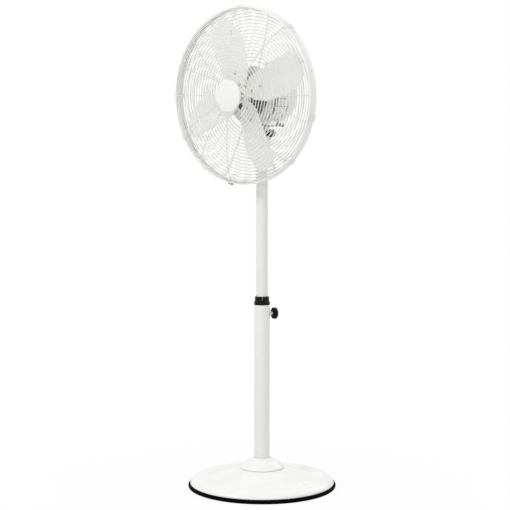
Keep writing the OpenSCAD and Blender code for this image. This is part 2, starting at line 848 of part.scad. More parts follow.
module clutch_knob() {
    tip_y = clutch_travel + 2.5;
    color([0.9, 0.9, 0.88])
    head() upright(wheel_x, worm_z, 0) union() {
        translate([0, 0, tip_y]) cylinder(r = clutch_r, h = knob_y + 4 - tip_y, $fn = fine);
        translate([0, 0, knob_y]) revolve(concat(
            [[0, 0], [7, 0], [7, 5]], arc(5.5, 12, 3.5, 3.5, -20, 90, 6), [[0, 16]]
        ));
    }
}

// ---- electrics ----

module capacitor() {
    color([0.15, 0.15, 0.16])
    head() translate([30, -15, cover_front - 20]) cube([13, 30, 20]);
}

module speed_switch() {
    color([0.12, 0.12, 0.12])
    head() difference() {
        translate([-11, switch_y - 10, cover_end + cover_wall]) cube([22, 20, 15]);
        translate([0, switch_y, cover_end]) cylinder(r = speed_shaft_r + run, h = 12, $fn = fine);
    }
}

module speed_knob() {
    color([0.05, 0.05, 0.05])
    head() translate([0, switch_y, 0]) union() {
        translate([0, 0, cover_end - 14]) cylinder(r = speed_shaft_r, h = 24, $fn = fine);
        translate([0, 0, cover_end - 4]) cylinder(r = 14, h = 3, $fn = fine);
        translate([0, 0, cover_end - 15]) cylinder(r = 11, h = 12, $fn = fine);
        translate([-2.5, -14, cover_end - 16]) cube([5, 28, 14]);
    }
}

module cable_gland() {
    color([0.05, 0.05, 0.05])
    head() translate([0, gland_y, 0]) difference() {
        union() {
            translate([0, 0, cover_end - 8]) cylinder(r = gland_r, h = 8 + cover_wall + 2, $fn = fine);
            translate([0, 0, cover_end - 3]) cylinder(r = 8.5, h = 3, $fn = fine);
        }
        translate([0, 0, cover_end - 9]) cylinder(r = 3.4, h = 20, $fn = fine);
    }
}

// ---- blades ----

// Places children in the frame of each blade
module each_blade() {
    for (i = [0:blade_n - 1]) rotate([0, 0, blade_turn + 360 / blade_n * i])
        translate([0, 0, blade_z]) rotate([blade_pitch, 0, 0]) children();
}

// Sheet bent about an axis along the blade, between two depths behind its face
module bent_sheet(outline, back, front) {
    intersection() {
        translate([0, 0, -30]) linear_extrude(60) polygon(wrap(outline, 8));
        translate([-5, 0, bend_r]) rotate([0, 90, 0]) difference() {
            cylinder(r = bend_r + back, h = 260, $fn = many);
            translate([0, 0, -1]) cylinder(r = bend_r + front, h = 262, $fn = many);
        }
    }
}

module rivet_holes() {
    for (x = rivet_at) translate([x, 0, -10]) cylinder(r = rivet_r, h = 20, $fn = 24);
}

module fan_blades() {
    color([0.94, 0.94, 0.92])
    head() each_blade() difference() {
        bent_sheet(paddle, blade_t, 0);
        rivet_holes();
    }
}

module spider() {
    color([0.9, 0.9, 0.88])
    head() difference() {
        union() {
            translate([0, 0, hub_back]) cylinder(r = hub_r, h = hub_front - hub_back, $fn = many);
            each_blade() bent_sheet(arm_outline, blade_t + arm_sheet + press, blade_t + press);
        }
        each_blade() rivet_holes();
        translate([0, 0, hub_back - 1]) cylinder(r = shaft_r, h = 40, $fn = fine);
    }
}

module blade_rivets() {
    back = blade_t + arm_sheet + 0.1;
    color([0.7, 0.7, 0.7])
    head() each_blade() for (x = rivet_at) translate([x, 0, 0]) union() {
        translate([0, 0, -back - 1.4]) cylinder(r = 4, h = 1.3, $fn = 24);
        translate([0, 0, -back - 0.2]) cylinder(r = rivet_r - press, h = back + 0.5, $fn = 24);
        translate([0, 0, 0.1]) cylinder(r = 4, h = 1.4, $fn = 24);
    }
}

module hub_nut() {
    color([0.15, 0.15, 0.15])
    head() translate([0, 0, hub_front]) difference() {
        union() {
            cylinder(r = 9, h = 7, $fn = 6);
            cylinder(r = 10.5, h = 1.5, $fn = fine);
        }
        translate([0, 0, -1]) cylinder(r = shaft_r, h = 20, $fn = fine);
    }
}

// ---- guard ----

module guard_plate() {
    color([0.92, 0.92, 0.9])
    head() translate([0, 0, seat_z + near]) difference() {
        ring(plate_in, plate_out, plate_t);
        guard_screw_places() translate([0, 0, -1]) cylinder(r = guard_screw_r + 0.2, h = 5, $fn = fine);
    }
}

module guard_screws() {
    color([0.6, 0.6, 0.6])
    head() guard_screw_places() union() {
        translate([0, 0, seat_z - guard_screw_l + 0.3])
            cylinder(r = guard_screw_r, h = guard_screw_l + plate_t, $fn = fine);
        translate([0, 0, plate_front]) cylinder(r = 3.8, h = 2, $fn = fine);
    }
}

// Centre line of a strut from radius inner out to the edge wire: radius and height above the edge wire
function strut_line(inner, depth) = concat(
    [for (k = [0:9])
        let (r = inner + (strut_r - inner) * sin(9.6 * k))
        [r, depth * rise(r)]],
    [[strut_r, 0]]
);

// Wire of eight sides swept along a line of [radius, height] points in the plane y = 0
module swept_wire(line, r) {
    n = len(line);
    sides = 8;
    dirs = [for (i = [0:n - 1])
        let (d = line[min(i + 1, n - 1)] - line[max(i - 1, 0)]) d / norm(d)];
    points = [
        for (i = [0:n - 1]) for (k = [0:sides - 1])
        let (a = 360 * (k + 0.5) / sides, p = line[i], d = dirs[i])
        [p[0] - r * cos(a) * d[1], r * sin(a), p[1] + r * cos(a) * d[0]]
    ];
    walls = [
        for (i = [0:n - 2]) for (k = [0:sides - 1])
        let (q = (k + 1) % sides)
        [i * sides + k, i * sides + q, (i + 1) * sides + q, (i + 1) * sides + k]
    ];
    polyhedron(points, concat(
        walls, [[for (k = [sides - 1:-1:0]) k]], [[for (k = [0:sides - 1]) (n - 1) * sides + k]]
    ));
}

module struts(turns, inner, depth, z, forward) {
    for (a = turns) rotate([0, 0, a]) translate([0, 0, z]) mirror([0, 0, forward > 0 ? 0 : 1])
        swept_wire(strut_line(inner, depth), strut_wire / 2);
}

// Closed ring of wire with a section of eight sides
module hoop(radius, r) {
    revolve([for (k = [0:7]) [radius + r * cos(45 * k + 22.5), r * sin(45 * k + 22.5)]]);
}

module wire_rings(inner, depth, z, forward) {
    union() {
        for (r = stations(strut_r - 2.4, inner, depth)) {
            tilt = sqrt(1 + pow(depth * fall(r), 2));
            at = [r - ring_off * depth * fall(r) / tilt, z + forward * (depth * rise(r) + ring_off / tilt)];
            translate([0, 0, at[1]]) hoop(at[0], ring_wire / 2);
        }
        translate([0, 0, z]) hoop(edge_r, edge_wire / 2);
    }
}

module rear_struts() {
    color([0.9, 0.9, 0.88])
    head() struts(rear_turns, rear_in, rear_deep, rear_edge_z, -1);
}

module rear_rings() {
    color([0.92, 0.92, 0.9])
    head() wire_rings(plate_out + 6, rear_deep, rear_edge_z, -1);
}

module front_struts() {
    color([0.9, 0.9, 0.88])
    head() struts(front_turns, front_in, front_deep, front_edge_z, 1);
}

module front_rings() {
    color([0.93, 0.93, 0.91])
    head() wire_rings(front_plate_r + 4, front_deep, front_edge_z, 1);
}

module rim_band() {
    color([0.93, 0.93, 0.91])
    head() difference() {
        union() {
            translate([0, 0, rim_z - band_w / 2]) revolve([
                [guard_r - band_lip, 0], [guard_r, 0], [guard_r, band_w], [guard_r - band_lip, band_w],
                [guard_r - band_lip, band_w - band_t], [guard_r - band_t, band_w - band_t],
                [guard_r - band_t, band_t], [guard_r - band_lip, band_t]
            ]);
            rotate([0, 0, split_turn]) for (y = [-5, 3])
                translate([guard_r - 0.6, y, rim_z - 5]) cube([lug_out + 0.6, 2, 10]);
        }
        rotate([0, 0, split_turn]) translate([guard_r - 10, -1, rim_z - 20]) cube([20, 2, 40]);
        rotate([0, 0, split_turn]) translate([guard_r + lug_out / 2, -10, rim_z]) rotate([-90, 0, 0])
            cylinder(r = 1.6, h = 20, $fn = fine);
    }
}

module rim_screw() {
    color([0.08, 0.08, 0.08])
    head() rotate([0, 0, split_turn]) translate([guard_r + lug_out / 2, 0, rim_z])
    rotate([-90, 0, 0]) union() {
        translate([0, 0, -7.5]) cylinder(r = 2.8, h = 2.5, $fn = fine);
        translate([0, 0, -5.1]) cylinder(r = 1.5, h = 12, $fn = fine);
        translate([0, 0, 5]) cylinder(r = 2.9, h = 2, $fn = 6);
    }
}

module rim_clips() {
    r = guard_r + near;
    half = band_w / 2 + near;
    t = 1.4;
    sweep = clip_w / guard_r * 180 / PI;
    color([0.88, 0.88, 0.86])
    head() for (a = clip_turns) rotate([0, 0, a - sweep / 2]) translate([0, 0, rim_z])
        rotate_extrude(angle = sweep, $fn = many) polygon([
            [r - 5, -half - t], [r + t, -half - t], [r + t, half + t], [r - 5, half + t],
            [r - 5, half], [r, half], [r, -half], [r - 5, -half]
        ]);
}

module front_plate() {
    color([0.9, 0.9, 0.88])
    head() translate([0, 0, front_plate_z]) revolve([
        [0, 0], [front_plate_r - 2, 0], [front_plate_r, 1], [front_plate_r, front_plate_t],
        [0, front_plate_t]
    ]);
}

module badge() {
    r = badge_d / 2;
    color([0.95, 0.95, 0.94])
    head() translate([0, 0, front_plate_z + front_plate_t]) revolve(concat(
        [[0, 0], [r, 0], [r, 1.5]],
        [for (k = [1:8]) [r * (1 - k / 8), badge_t - 2.2 * pow(1 - k / 8, 2.4)]]
    ));
}

base_edge_ring();
base_cover();
base_weight();
column_flange();
flange_screw();
base_bolt();
base_washer();
tube_plug();
lower_tube();
clamp_boss();
height_collar();
clamp_screw();
clamp_knob();
upper_tube();
glide_bush();
tilt_yoke();
tilt_nut();
tilt_bolt();
tilt_knob();
neck();
neck_stud();
swing_washer();
crank_link();
swing_pin();
swing_block();
motor_shell();
motor_rear_cover();
rear_bell();
stator_core();
stator_coils();
motor_bearings();
motor_screws();
gear_frame();
capacitor();
speed_switch();
cable_gland();
speed_knob();
worm_wheel();
pinion_shaft();
clutch_knob();
crank_gear();
motor_shaft();
rotor();
worm();
spider();
fan_blades();
blade_rivets();
hub_nut();
guard_plate();
guard_screws();
rear_struts();
rear_rings();
rim_band();
rim_screw();
rim_clips();
front_struts();
front_rings();
front_plate();
badge();
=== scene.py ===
"""Looks of the pedestal fan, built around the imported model. +Z up, the fan blows towards -Y.

Camera, lamps and shaders are in metres. Shapes and places are in millimetres until they reach Blender."""

import json
from math import asin, atan2, cos, degrees, hypot, pi, radians, sin, sqrt

import bmesh
import bpy
from mathutils import Matrix, Vector


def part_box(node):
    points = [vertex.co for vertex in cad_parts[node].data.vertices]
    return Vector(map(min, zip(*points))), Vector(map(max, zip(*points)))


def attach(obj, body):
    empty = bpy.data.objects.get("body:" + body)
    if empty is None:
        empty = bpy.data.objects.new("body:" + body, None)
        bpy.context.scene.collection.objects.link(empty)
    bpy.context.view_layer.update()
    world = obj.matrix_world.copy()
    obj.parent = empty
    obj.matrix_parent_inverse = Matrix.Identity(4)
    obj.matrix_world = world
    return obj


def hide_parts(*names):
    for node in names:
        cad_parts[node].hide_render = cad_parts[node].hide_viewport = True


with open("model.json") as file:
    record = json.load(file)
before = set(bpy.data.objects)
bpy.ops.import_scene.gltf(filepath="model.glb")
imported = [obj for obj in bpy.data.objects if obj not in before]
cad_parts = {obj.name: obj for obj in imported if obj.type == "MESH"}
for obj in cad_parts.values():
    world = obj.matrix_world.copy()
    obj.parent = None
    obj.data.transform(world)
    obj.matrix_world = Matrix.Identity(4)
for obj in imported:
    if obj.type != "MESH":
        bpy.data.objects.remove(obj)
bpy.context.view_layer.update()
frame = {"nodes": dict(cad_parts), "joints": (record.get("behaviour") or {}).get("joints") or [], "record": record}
MM = 0.001
JOINTS = {j["name"]: j for j in frame["joints"]}


# ---- camera and light

def add_object(name, data):
    obj = bpy.data.objects.new(name, data)
    bpy.context.scene.collection.objects.link(obj)
    return obj


def look_at(obj, target):
    obj.rotation_euler = (Vector(target) - obj.location).to_track_quat("-Z", "Y").to_euler()


def make_camera():
    cam = add_object("camera", bpy.data.cameras.new("camera"))
    cam.data.sensor_width = 36
    cam.data.lens = 81.2
    bearing, distance, height = radians(39.5), 2.82, 0.695
    cam.location = (distance * sin(bearing), -distance * cos(bearing), height)
    turn, drop = bearing + radians(0.35), radians(-2.5)
    ahead = Vector((-sin(turn) * cos(drop), cos(turn) * cos(drop), sin(drop)))
    cam.rotation_euler = ahead.to_track_quat("-Z", "Y").to_euler()
    cam.data.clip_start, cam.data.clip_end = 0.05, 100
    bpy.context.scene.camera = cam


def area_lamp(name, location, target, size, power, tint=(1, 1, 1)):
    lamp = add_object(name, bpy.data.lights.new(name, "AREA"))
    lamp.data.shape = "DISK"
    lamp.data.size = size
    lamp.data.energy = power
    lamp.data.color = tint
    lamp.location = location
    look_at(lamp, target)


def make_world(below, above):
    """Soft light, weaker from below. The camera, mirrors and glass see white instead."""
    world = bpy.data.worlds.new("studio")
    bpy.context.scene.world = world
    world.use_nodes = True
    t = Tree(world.node_tree)
    path = t.add("ShaderNodeLightPath")
    mirrored = t.math("MAXIMUM", path.outputs["Is Glossy Ray"], path.outputs["Is Transmission Ray"])
    seen = t.math("MAXIMUM", path.outputs["Is Camera Ray"], mirrored)
    where = t.add("ShaderNodeTexCoord")
    rise = t.add("ShaderNodeSeparateXYZ", Vector=where.outputs["Generated"])
    level = t.add("ShaderNodeMapRange", Value=rise.outputs["Z"],
                  From_Min=-0.5, From_Max=0.5, To_Min=below, To_Max=above)
    light = t.add("ShaderNodeBackground", Color=(1, 1, 1, 1), Strength=level.outputs[0])
    white = t.add("ShaderNodeBackground", Color=(1, 1, 1, 1), Strength=1)
    t.add("ShaderNodeOutputWorld", Surface=t.mix(seen, light.outputs[0], white.outputs[0]))


# ---- materials

class Tree:
    """Short way to write a node tree. Inputs are constants or sockets of other nodes."""

    def __init__(self, tree):
        self.tree = tree
        tree.nodes.clear()

    def put(self, socket, value):
        if isinstance(value, bpy.types.NodeSocket):
            self.tree.links.new(value, socket)
        else:
            socket.default_value = value

    def add(self, kind, props=None, **inputs):
        node = self.tree.nodes.new(kind)
        for key, value in (props or {}).items():
            setattr(node, key, value)
        for key, value in inputs.items():
            self.put(node.inputs[key.replace("_", " ")], value)
        return node

    def math(self, operation, a, b):
        node = self.add("ShaderNodeMath", {"operation": operation})
        self.put(node.inputs[0], a)
        self.put(node.inputs[1], b)
        return node.outputs[0]

    def mix(self, fac, a, b):
        """Shader a where fac is 0 and b where it is 1."""
        node = self.add("ShaderNodeMixShader", Fac=fac)
        self.put(node.inputs[1], a)
        self.put(node.inputs[2], b)
        return node.outputs[0]

    def place(self, scale=(1, 1, 1)):
        coord = self.add("ShaderNodeTexCoord")
        return self.add("ShaderNodeMapping", Vector=coord.outputs["Object"], Scale=scale).outputs[0]

    def noise(self, where, scale, detail, rough=0.5):
        node = self.add("ShaderNodeTexNoise", Vector=where, Scale=scale, Detail=detail, Roughness=rough)
        return node.outputs["Fac"]

    def ramp(self, fac, *stops):
        node = self.add("ShaderNodeValToRGB", Fac=fac)
        for element, (at, colour) in zip(node.color_ramp.elements, stops):
            element.position = at
            element.color = (*colour, 1)
        return node.outputs[0]

    def spread(self, fac, low, high):
        return self.add("ShaderNodeMapRange", Value=fac, To_Min=low, To_Max=high).outputs[0]

    def bumps(self, *parts):
        """Normal with bumps of (height, depth in metres) one on another."""
        normal = None
        for height, depth in parts:
            node = self.add("ShaderNodeBump", Height=height, Distance=depth, Strength=1.0)
            if normal:
                self.put(node.inputs["Normal"], normal)
            normal = node.outputs["Normal"]
        return normal


def shade(colour, by):
    return tuple(min(1.0, c * by) for c in colour)


def new_material(name):
    made = bpy.data.materials.new(name)
    made.use_nodes = True
    return made, Tree(made.node_tree)


def finish_material(name, build):
    """Material whose surface has the inputs that build(tree) gives."""
    made, t = new_material(name)
    surface = t.add("ShaderNodeBsdfPrincipled", **build(t))
    t.add("ShaderNodeOutputMaterial", Surface=surface.outputs[0])
    return made


def sprayed(name, colour, rough, peel, vary=0.03):
    """Sprayed or powder-coated paint: orange peel, faint cloudiness, specks and uneven gloss."""
    def build(t):
        where = t.place()
        cloud = t.ramp(t.noise(where, 9, 2), (0.3, shade(colour, 1 - vary)), (0.7, colour))
        specks = t.ramp(t.noise(where, 2600, 1), (0.70, (1, 1, 1)), (0.82, (0.97, 0.97, 0.964)))
        tint = t.add("ShaderNodeMix", {"data_type": "RGBA", "blend_type": "MULTIPLY"},
                     Factor=1, A=cloud, B=specks)
        return {"Base_Color": tint.outputs["Result"],
                "Roughness": t.spread(t.noise(where, 38, 3), rough - 0.07, rough + 0.07),
                "Normal": t.bumps((t.noise(where, 420, 2), peel), (t.noise(where, 900, 2), peel * 0.4))}
    return finish_material(name, build)


def moulded(name, colour, rough, grain, scale, vary=0.12, spec=0.5):
    """Moulded plastic or rubber: fine grain, flow marks and worn gloss."""
    def build(t):
        where = t.place()
        flow = t.noise(t.place((3, 3, 14)), 14, 3, 0.6)
        cells = t.add("ShaderNodeTexVoronoi", Vector=where, Scale=scale)
        return {"Base_Color": t.ramp(flow, (0.3, shade(colour, 1 - vary)), (0.72, shade(colour, 1 + vary))),
                "Roughness": t.spread(t.noise(where, 60, 4, 0.7), rough - 0.1, rough + 0.1),
                "Specular_IOR_Level": spec,
                "Normal": t.bumps((cells.outputs["Distance"], grain), (t.noise(where, scale / 4, 2), grain))}
    return finish_material(name, build)


def metal(name, colour, rough=0.28):
    """Turned, drawn or plated metal: fine lines, stains and uneven polish."""
    def build(t):
        lines = t.noise(t.place((60, 60, 900)), 3, 4, 0.6)
        where = t.place()
        spots = t.noise(where, 70, 4, 0.65)
        wear = t.math("ADD", t.math("MULTIPLY", lines, 0.6), t.math("MULTIPLY", spots, 0.4))
        return {"Base_Color": t.ramp(spots, (0.35, shade(colour, 0.75)), (0.65, colour)), "Metallic": 1,
                "Roughness": t.spread(wear, rough - 0.1, rough + 0.14),
                "Normal": t.bumps((lines, 0.000012), (t.noise(where, 600, 2), 0.000012))}
    return finish_material(name, build)


def cast(name, colour, rough, depth, scale):
    """Cast metal: pitted skin with darker hollows."""
    def build(t):
        where = t.place()
        pits = t.add("ShaderNodeTexVoronoi", {"feature": "SMOOTH_F1"}, Vector=where, Scale=scale)
        skin = t.noise(where, scale / 3, 5, 0.7)
        return {"Base_Color": t.ramp(skin, (0.3, shade(colour, 0.72)), (0.7, shade(colour, 1.08))),
                "Roughness": t.spread(skin, rough - 0.12, rough + 0.15), "Metallic": 0.4,
                "Normal": t.bumps((pits.outputs["Distance"], depth), (skin, depth * 0.7))}
    return finish_material(name, build)


def layered(name, colour, pitch, axis, depth=0.00008, metallic=0.8):
    """Stacked sheets or wound wire, seen edge on."""
    def build(t):
        where = t.place()
        wave = t.add("ShaderNodeTexWave", {"wave_type": "BANDS", "bands_direction": axis},
                     Vector=where, Scale=pi / 10 / pitch, Distortion=1.2, Detail=2).outputs["Fac"]
        return {"Base_Color": t.ramp(wave, (0.1, shade(colour, 0.45)), (0.6, colour)), "Metallic": metallic,
                "Roughness": t.spread(t.noise(where, 90, 3), 0.3, 0.5), "Normal": t.bumps((wave, depth))}
    return finish_material(name, build)


MATERIALS = {
    "white_paint": lambda: sprayed("white_paint", (0.92, 0.92, 0.905), 0.30, 0.00003),
    "tube_paint": lambda: sprayed("tube_paint", (0.83, 0.83, 0.815), 0.33, 0.00002),
    "guard_wire": lambda: sprayed("guard_wire", (0.86, 0.86, 0.84), 0.34, 0.00002),
    "blade_paint": lambda: sprayed("blade_paint", (0.90, 0.90, 0.87), 0.40, 0.00003),
    "badge_plastic": lambda: sprayed("badge_plastic", (0.88, 0.88, 0.865), 0.28, 0.00001, 0.015),
    "black_rubber": lambda: moulded("black_rubber", (0.002, 0.002, 0.002), 0.75, 0.00006, 1100, spec=0.03),
    "black_plastic": lambda: moulded("black_plastic", (0.004, 0.004, 0.0045), 0.42, 0.00003, 1800, spec=0.16),
    "pale_plastic": lambda: moulded("pale_plastic", (0.74, 0.71, 0.60), 0.45, 0.00003, 1300, vary=0.05),
    "steel": lambda: metal("steel", (0.62, 0.62, 0.64)),
    "dark_steel": lambda: metal("dark_steel", (0.17, 0.17, 0.18), 0.38),
    "iron": lambda: cast("iron", (0.10, 0.10, 0.105), 0.7, 0.0003, 300),
    # dark grey-brown for the motor's front bell: partly the bare casting's own colour, partly painted shade, as
    # that front lies in shadow behind the blades
    "motor_casting": lambda: cast("motor_casting", (0.27, 0.255, 0.235), 0.5, 0.00012, 620),
    "lamination": lambda: layered("lamination", (0.30, 0.30, 0.32), 0.0009, "Y"),
    "winding": lambda: layered("winding", (0.55, 0.22, 0.07), 0.0011, "DIAGONAL", 0.0002, 0.9),
}
made_materials = {}


def material(name):
    if name not in made_materials:
        made_materials[name] = MATERIALS[name]()
    return made_materials[name]


def make_floor_material():
    """White floor that melts into the white backdrop and keeps the object's shadow."""
    made, t = new_material("studio_floor")
    where = t.place()
    tint = t.ramp(t.noise(where, 3, 3), (0.3, (0.78, 0.78, 0.775)), (0.7, (0.81, 0.81, 0.805)))
    grain = t.bumps((t.noise(where, 300, 3), 0.0002))
    surface = t.add("ShaderNodeBsdfPrincipled", Base_Color=tint, Roughness=0.9, Normal=grain)
    clear = t.add("ShaderNodeBsdfTransparent")
    far = t.add("ShaderNodeVectorMath", {"operation": "LENGTH"})
    t.put(far.inputs[0], where)
    fade = t.add("ShaderNodeMapRange", {"interpolation_type": "SMOOTHSTEP"},
                 Value=far.outputs["Value"], From_Min=0.2, From_Max=0.75)
    seen = t.add("ShaderNodeLightPath").outputs["Is Camera Ray"]
    bright = t.add("ShaderNodeEmission", Color=(1, 1, 1, 1), Strength=1.0)
    pale = t.mix(t.math("MULTIPLY", seen, 0.93), surface.outputs[0], bright.outputs[0])
    melting = t.mix(t.math("MULTIPLY", fade.outputs[0], seen), pale, clear.outputs[0])
    t.add("ShaderNodeOutputMaterial", Surface=melting)
    return made


# ---- mesh tools

def polar(radius, angle, *z):
    return (radius * cos(angle), radius * sin(angle), *z)


def circle(radius, sides, *z):
    return [polar(radius, 2 * pi * k / sides, *z) for k in range(sides)]


def soften(points, radius, steps, closed=True):
    """Rounds the corners of an outline that bend by more than 12 degrees."""
    made = []
    n = len(points)
    for i, p in enumerate(points):
        if not closed and i in (0, n - 1):
            made.append(tuple(p))
            continue
        p = Vector(p)
        to_a, to_b = Vector(points[i - 1]) - p, Vector(points[(i + 1) % n]) - p
        if min(to_a.length, to_b.length) < 1e-4:
            continue
        if pi - to_a.angle(to_b, 0) < radians(12):
            made.append(tuple(p))
            continue
        reach = min(radius, to_a.length * 0.45, to_b.length * 0.45)
        start, end = p + to_a.normalized() * reach, p + to_b.normalized() * reach
        for k in range(steps + 1):
            u = k / steps
            made.append(tuple(start * (1 - u) ** 2 + p * 2 * u * (1 - u) + end * u ** 2))
    return made


def bridge(bm, rows, loop=True):
    """Faces between each row of vertices and the next. loop closes the rows."""
    for a, b in zip(rows, rows[1:]):
        for k in range(len(a) if loop else len(a) - 1):
            q = (k + 1) % len(a)
            bm.faces.new((a[k], a[q], b[q], b[k]))


def skin(bm, rows):
    """Body through closed rows of points, with a cap at both ends."""
    made = [[bm.verts.new(p) for p in row] for row in rows]
    bridge(bm, made)
    bm.faces.new(made[0][::-1])
    bm.faces.new(made[-1])
    return [v for row in made for v in row]


def lathe(bm, profile, steps=96, start=0.0, sweep=360.0, closed=True, warp=None, gap=None):
    """Turns a profile of (radius, height) about z. warp(radius, height, turn) may change the radius,
    and the cells for which gap(radius, height, degrees) holds are left out."""
    whole = sweep == 360
    rows = []
    for k in range(steps if whole else steps + 1):
        turn = radians(start + sweep * k / steps)
        rows.append([bm.verts.new(polar(warp(r, z, turn) if warp else r, turn, z)) for r, z in profile])
    ring = rows + rows[:1] if whole else rows
    sides = list(zip(profile, profile[1:] + profile[:1] if closed else profile[1:]))
    for k, (a, b) in enumerate(zip(ring, ring[1:])):
        for i, ((r0, z0), (r1, z1)) in enumerate(sides):
            on_axis = max(r0, r1) < 1e-9
            if not on_axis and not (gap and gap((r0 + r1) / 2, (z0 + z1) / 2, 360 * (k + 0.5) / steps)):
                j = (i + 1) % len(profile)
                bm.faces.new((a[i], b[i], b[j], a[j]))
    if not whole:
        bm.faces.new(rows[0])
        bm.faces.new(rows[-1][::-1])
    return [v for row in rows for v in row]


def prism(bm, outline, low, high):
    """Plate of an outline of (x, y) between two heights."""
    return skin(bm, [[(x, y, z) for x, y in outline] for z in (low, high)])


def sweep_wire(bm, path, radius, sides):
    """Round wire along a path of points."""
    points = [Vector(p) for p in path]
    up = (points[1] - points[0]).orthogonal().normalized()
    rows = []
    for i, p in enumerate(points):
        ahead = (points[min(i + 1, len(points) - 1)] - points[max(i - 1, 0)]).normalized()
        up = (up - ahead * up.dot(ahead)).normalized()
        side = ahead.cross(up)
        rows.append([p + up * x + side * y for x, y in circle(radius, sides)])
    skin(bm, rows)


def torus(bm, radius, height, wire, steps, sides):
    lathe(bm, [(radius + x, height + y) for x, y in circle(wire, sides)], steps)


def move(bm, verts, matrix):
    bmesh.ops.transform(bm, matrix=matrix, verts=verts)


def mesh_of(name, build):
    """Mesh of what build(bm) makes in millimetres."""
    bm = bmesh.new()
    build(bm)
    bm.transform(Matrix.Scale(MM, 4))
    bmesh.ops.remove_doubles(bm, verts=bm.verts, dist=1e-7)
    bmesh.ops.recalc_face_normals(bm, faces=bm.faces)
    mesh = bpy.data.meshes.new(name)
    bm.to_mesh(mesh)
    bm.free()
    return mesh


def metres(matrix):
    """The same place, written in metres instead of millimetres."""
    return Matrix.Translation(matrix.translation * MM) @ matrix.to_3x3().to_4x4()


def round_edges(obj, width, angle):
    mod = obj.modifiers.new("edges", "BEVEL")
    mod.width, mod.segments, mod.limit_method = width * MM, 2, "ANGLE"
    mod.angle_limit = radians(angle)


def smooth_shade(obj, angle):
    obj.data.shade_smooth()
    obj.data.set_sharp_from_angle(angle=radians(angle))


def solid(name, build, body, finish, nodes=(), place=None, smooth=35, bevel=0.0, cutters=()):
    """Makes a piece with build(bm), cuts, finishes and places it, and lets it ride on a CAD body."""
    obj = add_object(name, mesh_of(name, build))
    tools = [add_object(f"{name}_tool", cutter) for cutter in cutters]
    for tool in tools:
        mod = obj.modifiers.new("cut", "BOOLEAN")
        mod.operation, mod.object, mod.solver = "DIFFERENCE", tool, "EXACT"
    if tools:
        bake(obj)
    for tool in tools:
        bpy.data.objects.remove(tool)
    if bevel:
        round_edges(obj, bevel, 38)
        bake(obj)
    smooth_shade(obj, smooth)
    obj.data.materials.clear()
    obj.data.materials.append(material(finish))
    if place is not None:
        obj.matrix_world = metres(place)
    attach(obj, body)
    if nodes:
        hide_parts(*nodes)
    return obj


def bake(obj):
    """Applies the modifiers to the mesh."""
    bpy.context.view_layer.update()
    graph = bpy.context.evaluated_depsgraph_get()
    made = bpy.data.meshes.new_from_object(obj.evaluated_get(graph))
    old = obj.data
    obj.modifiers.clear()
    obj.data = made
    bpy.data.meshes.remove(old)


def slot_outline(length, width):
    """Long hole with round ends, along x, from 0 to length."""
    r = width / 2
    half = [(r * cos(a), r * sin(a)) for a in (pi * (k / 6 - 0.5) for k in range(7))]
    return [(length - r + x, y) for x, y in half] + [(r - x, -y) for x, y in half]


def islands(node):
    """Corner points of each separate solid of a CAD node, in the head's frame."""
    mesh = frame["nodes"][node].data
    bm = bmesh.new()
    bm.from_mesh(mesh)
    bmesh.ops.remove_doubles(bm, verts=bm.verts, dist=1e-6)
    left, found = set(bm.verts), []
    while left:
        todo, group = [left.pop()], []
        while todo:
            v = todo.pop()
            group.append(TO_HEAD @ (v.co / MM))
            for edge in v.link_edges:
                other = edge.other_vert(v)
                if other in left:
                    left.discard(other)
                    todo.append(other)
        found.append(group)
    bm.free()
    return found


# ---- places from the CAD boxes

def low(node):
    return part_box(node)[0] / MM


def high(node):
    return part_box(node)[1] / MM


def joint_at(name):
    return Vector(JOINTS[name]["pos_m"]) / MM


PIVOT_Z = joint_at("tilt").z
# the head's own frame: x right, y up, z forward along the fan's axis
FORWARD = -Vector(JOINTS["fan_spin"]["axis"])
RIGHT = Vector((1, 0, 0))
UP = FORWARD.cross(RIGHT)
HEAD = Matrix.Translation(joint_at("fan_spin")) @ Matrix((RIGHT, UP, FORWARD)).transposed().to_4x4()
TO_HEAD = HEAD.inverted()


def head_box(node):
    """Low and high corners of a node in the head's frame."""
    points = [TO_HEAD @ (v.co / MM) for v in frame["nodes"][node].data.vertices]
    return (Vector([min(p[i] for p in points) for i in range(3)]),
            Vector([max(p[i] for p in points) for i in range(3)]))


def ahead(node):
    """How far a node lies in front of the column's axis: back and front."""
    a, b = head_box(node)
    return a.z, b.z


def turned(angle, axis="Z"):
    return Matrix.Rotation(radians(angle), 4, axis)


def at(x, y, z):
    return Matrix.Translation((x, y, z))


def along(point, direction):
    """Matrix that stands z along a direction at a point."""
    return at(*point) @ Vector(direction).to_track_quat("Z", "Y").to_matrix().to_4x4()


def middle_of(points):
    return sum(points, Vector()) / len(points)


# ---- base

def ring_profile():
    """Rubber edge: round outside with a parting line, and grooves underneath."""
    r, h = high("base_edge_ring").x, high("base_edge_ring").z
    inner, c = r - 14, h / 2
    under = []
    for k in range(3):
        groove = inner + 1.6 + 2.1 * k
        under += [(groove, 0), (groove + 0.25, 0.6), (groove + 0.85, 0.6), (groove + 1.1, 0)]
    round_side = []
    for k in range(25):
        x, z = polar(c - (0.25 if k in (15, 16) else 0), radians(-90 + 180 * k / 24))
        round_side.append((r - c + x, c + z))
    return [(inner, h), (inner, 0.3), (inner + 0.3, 0)] + under + round_side


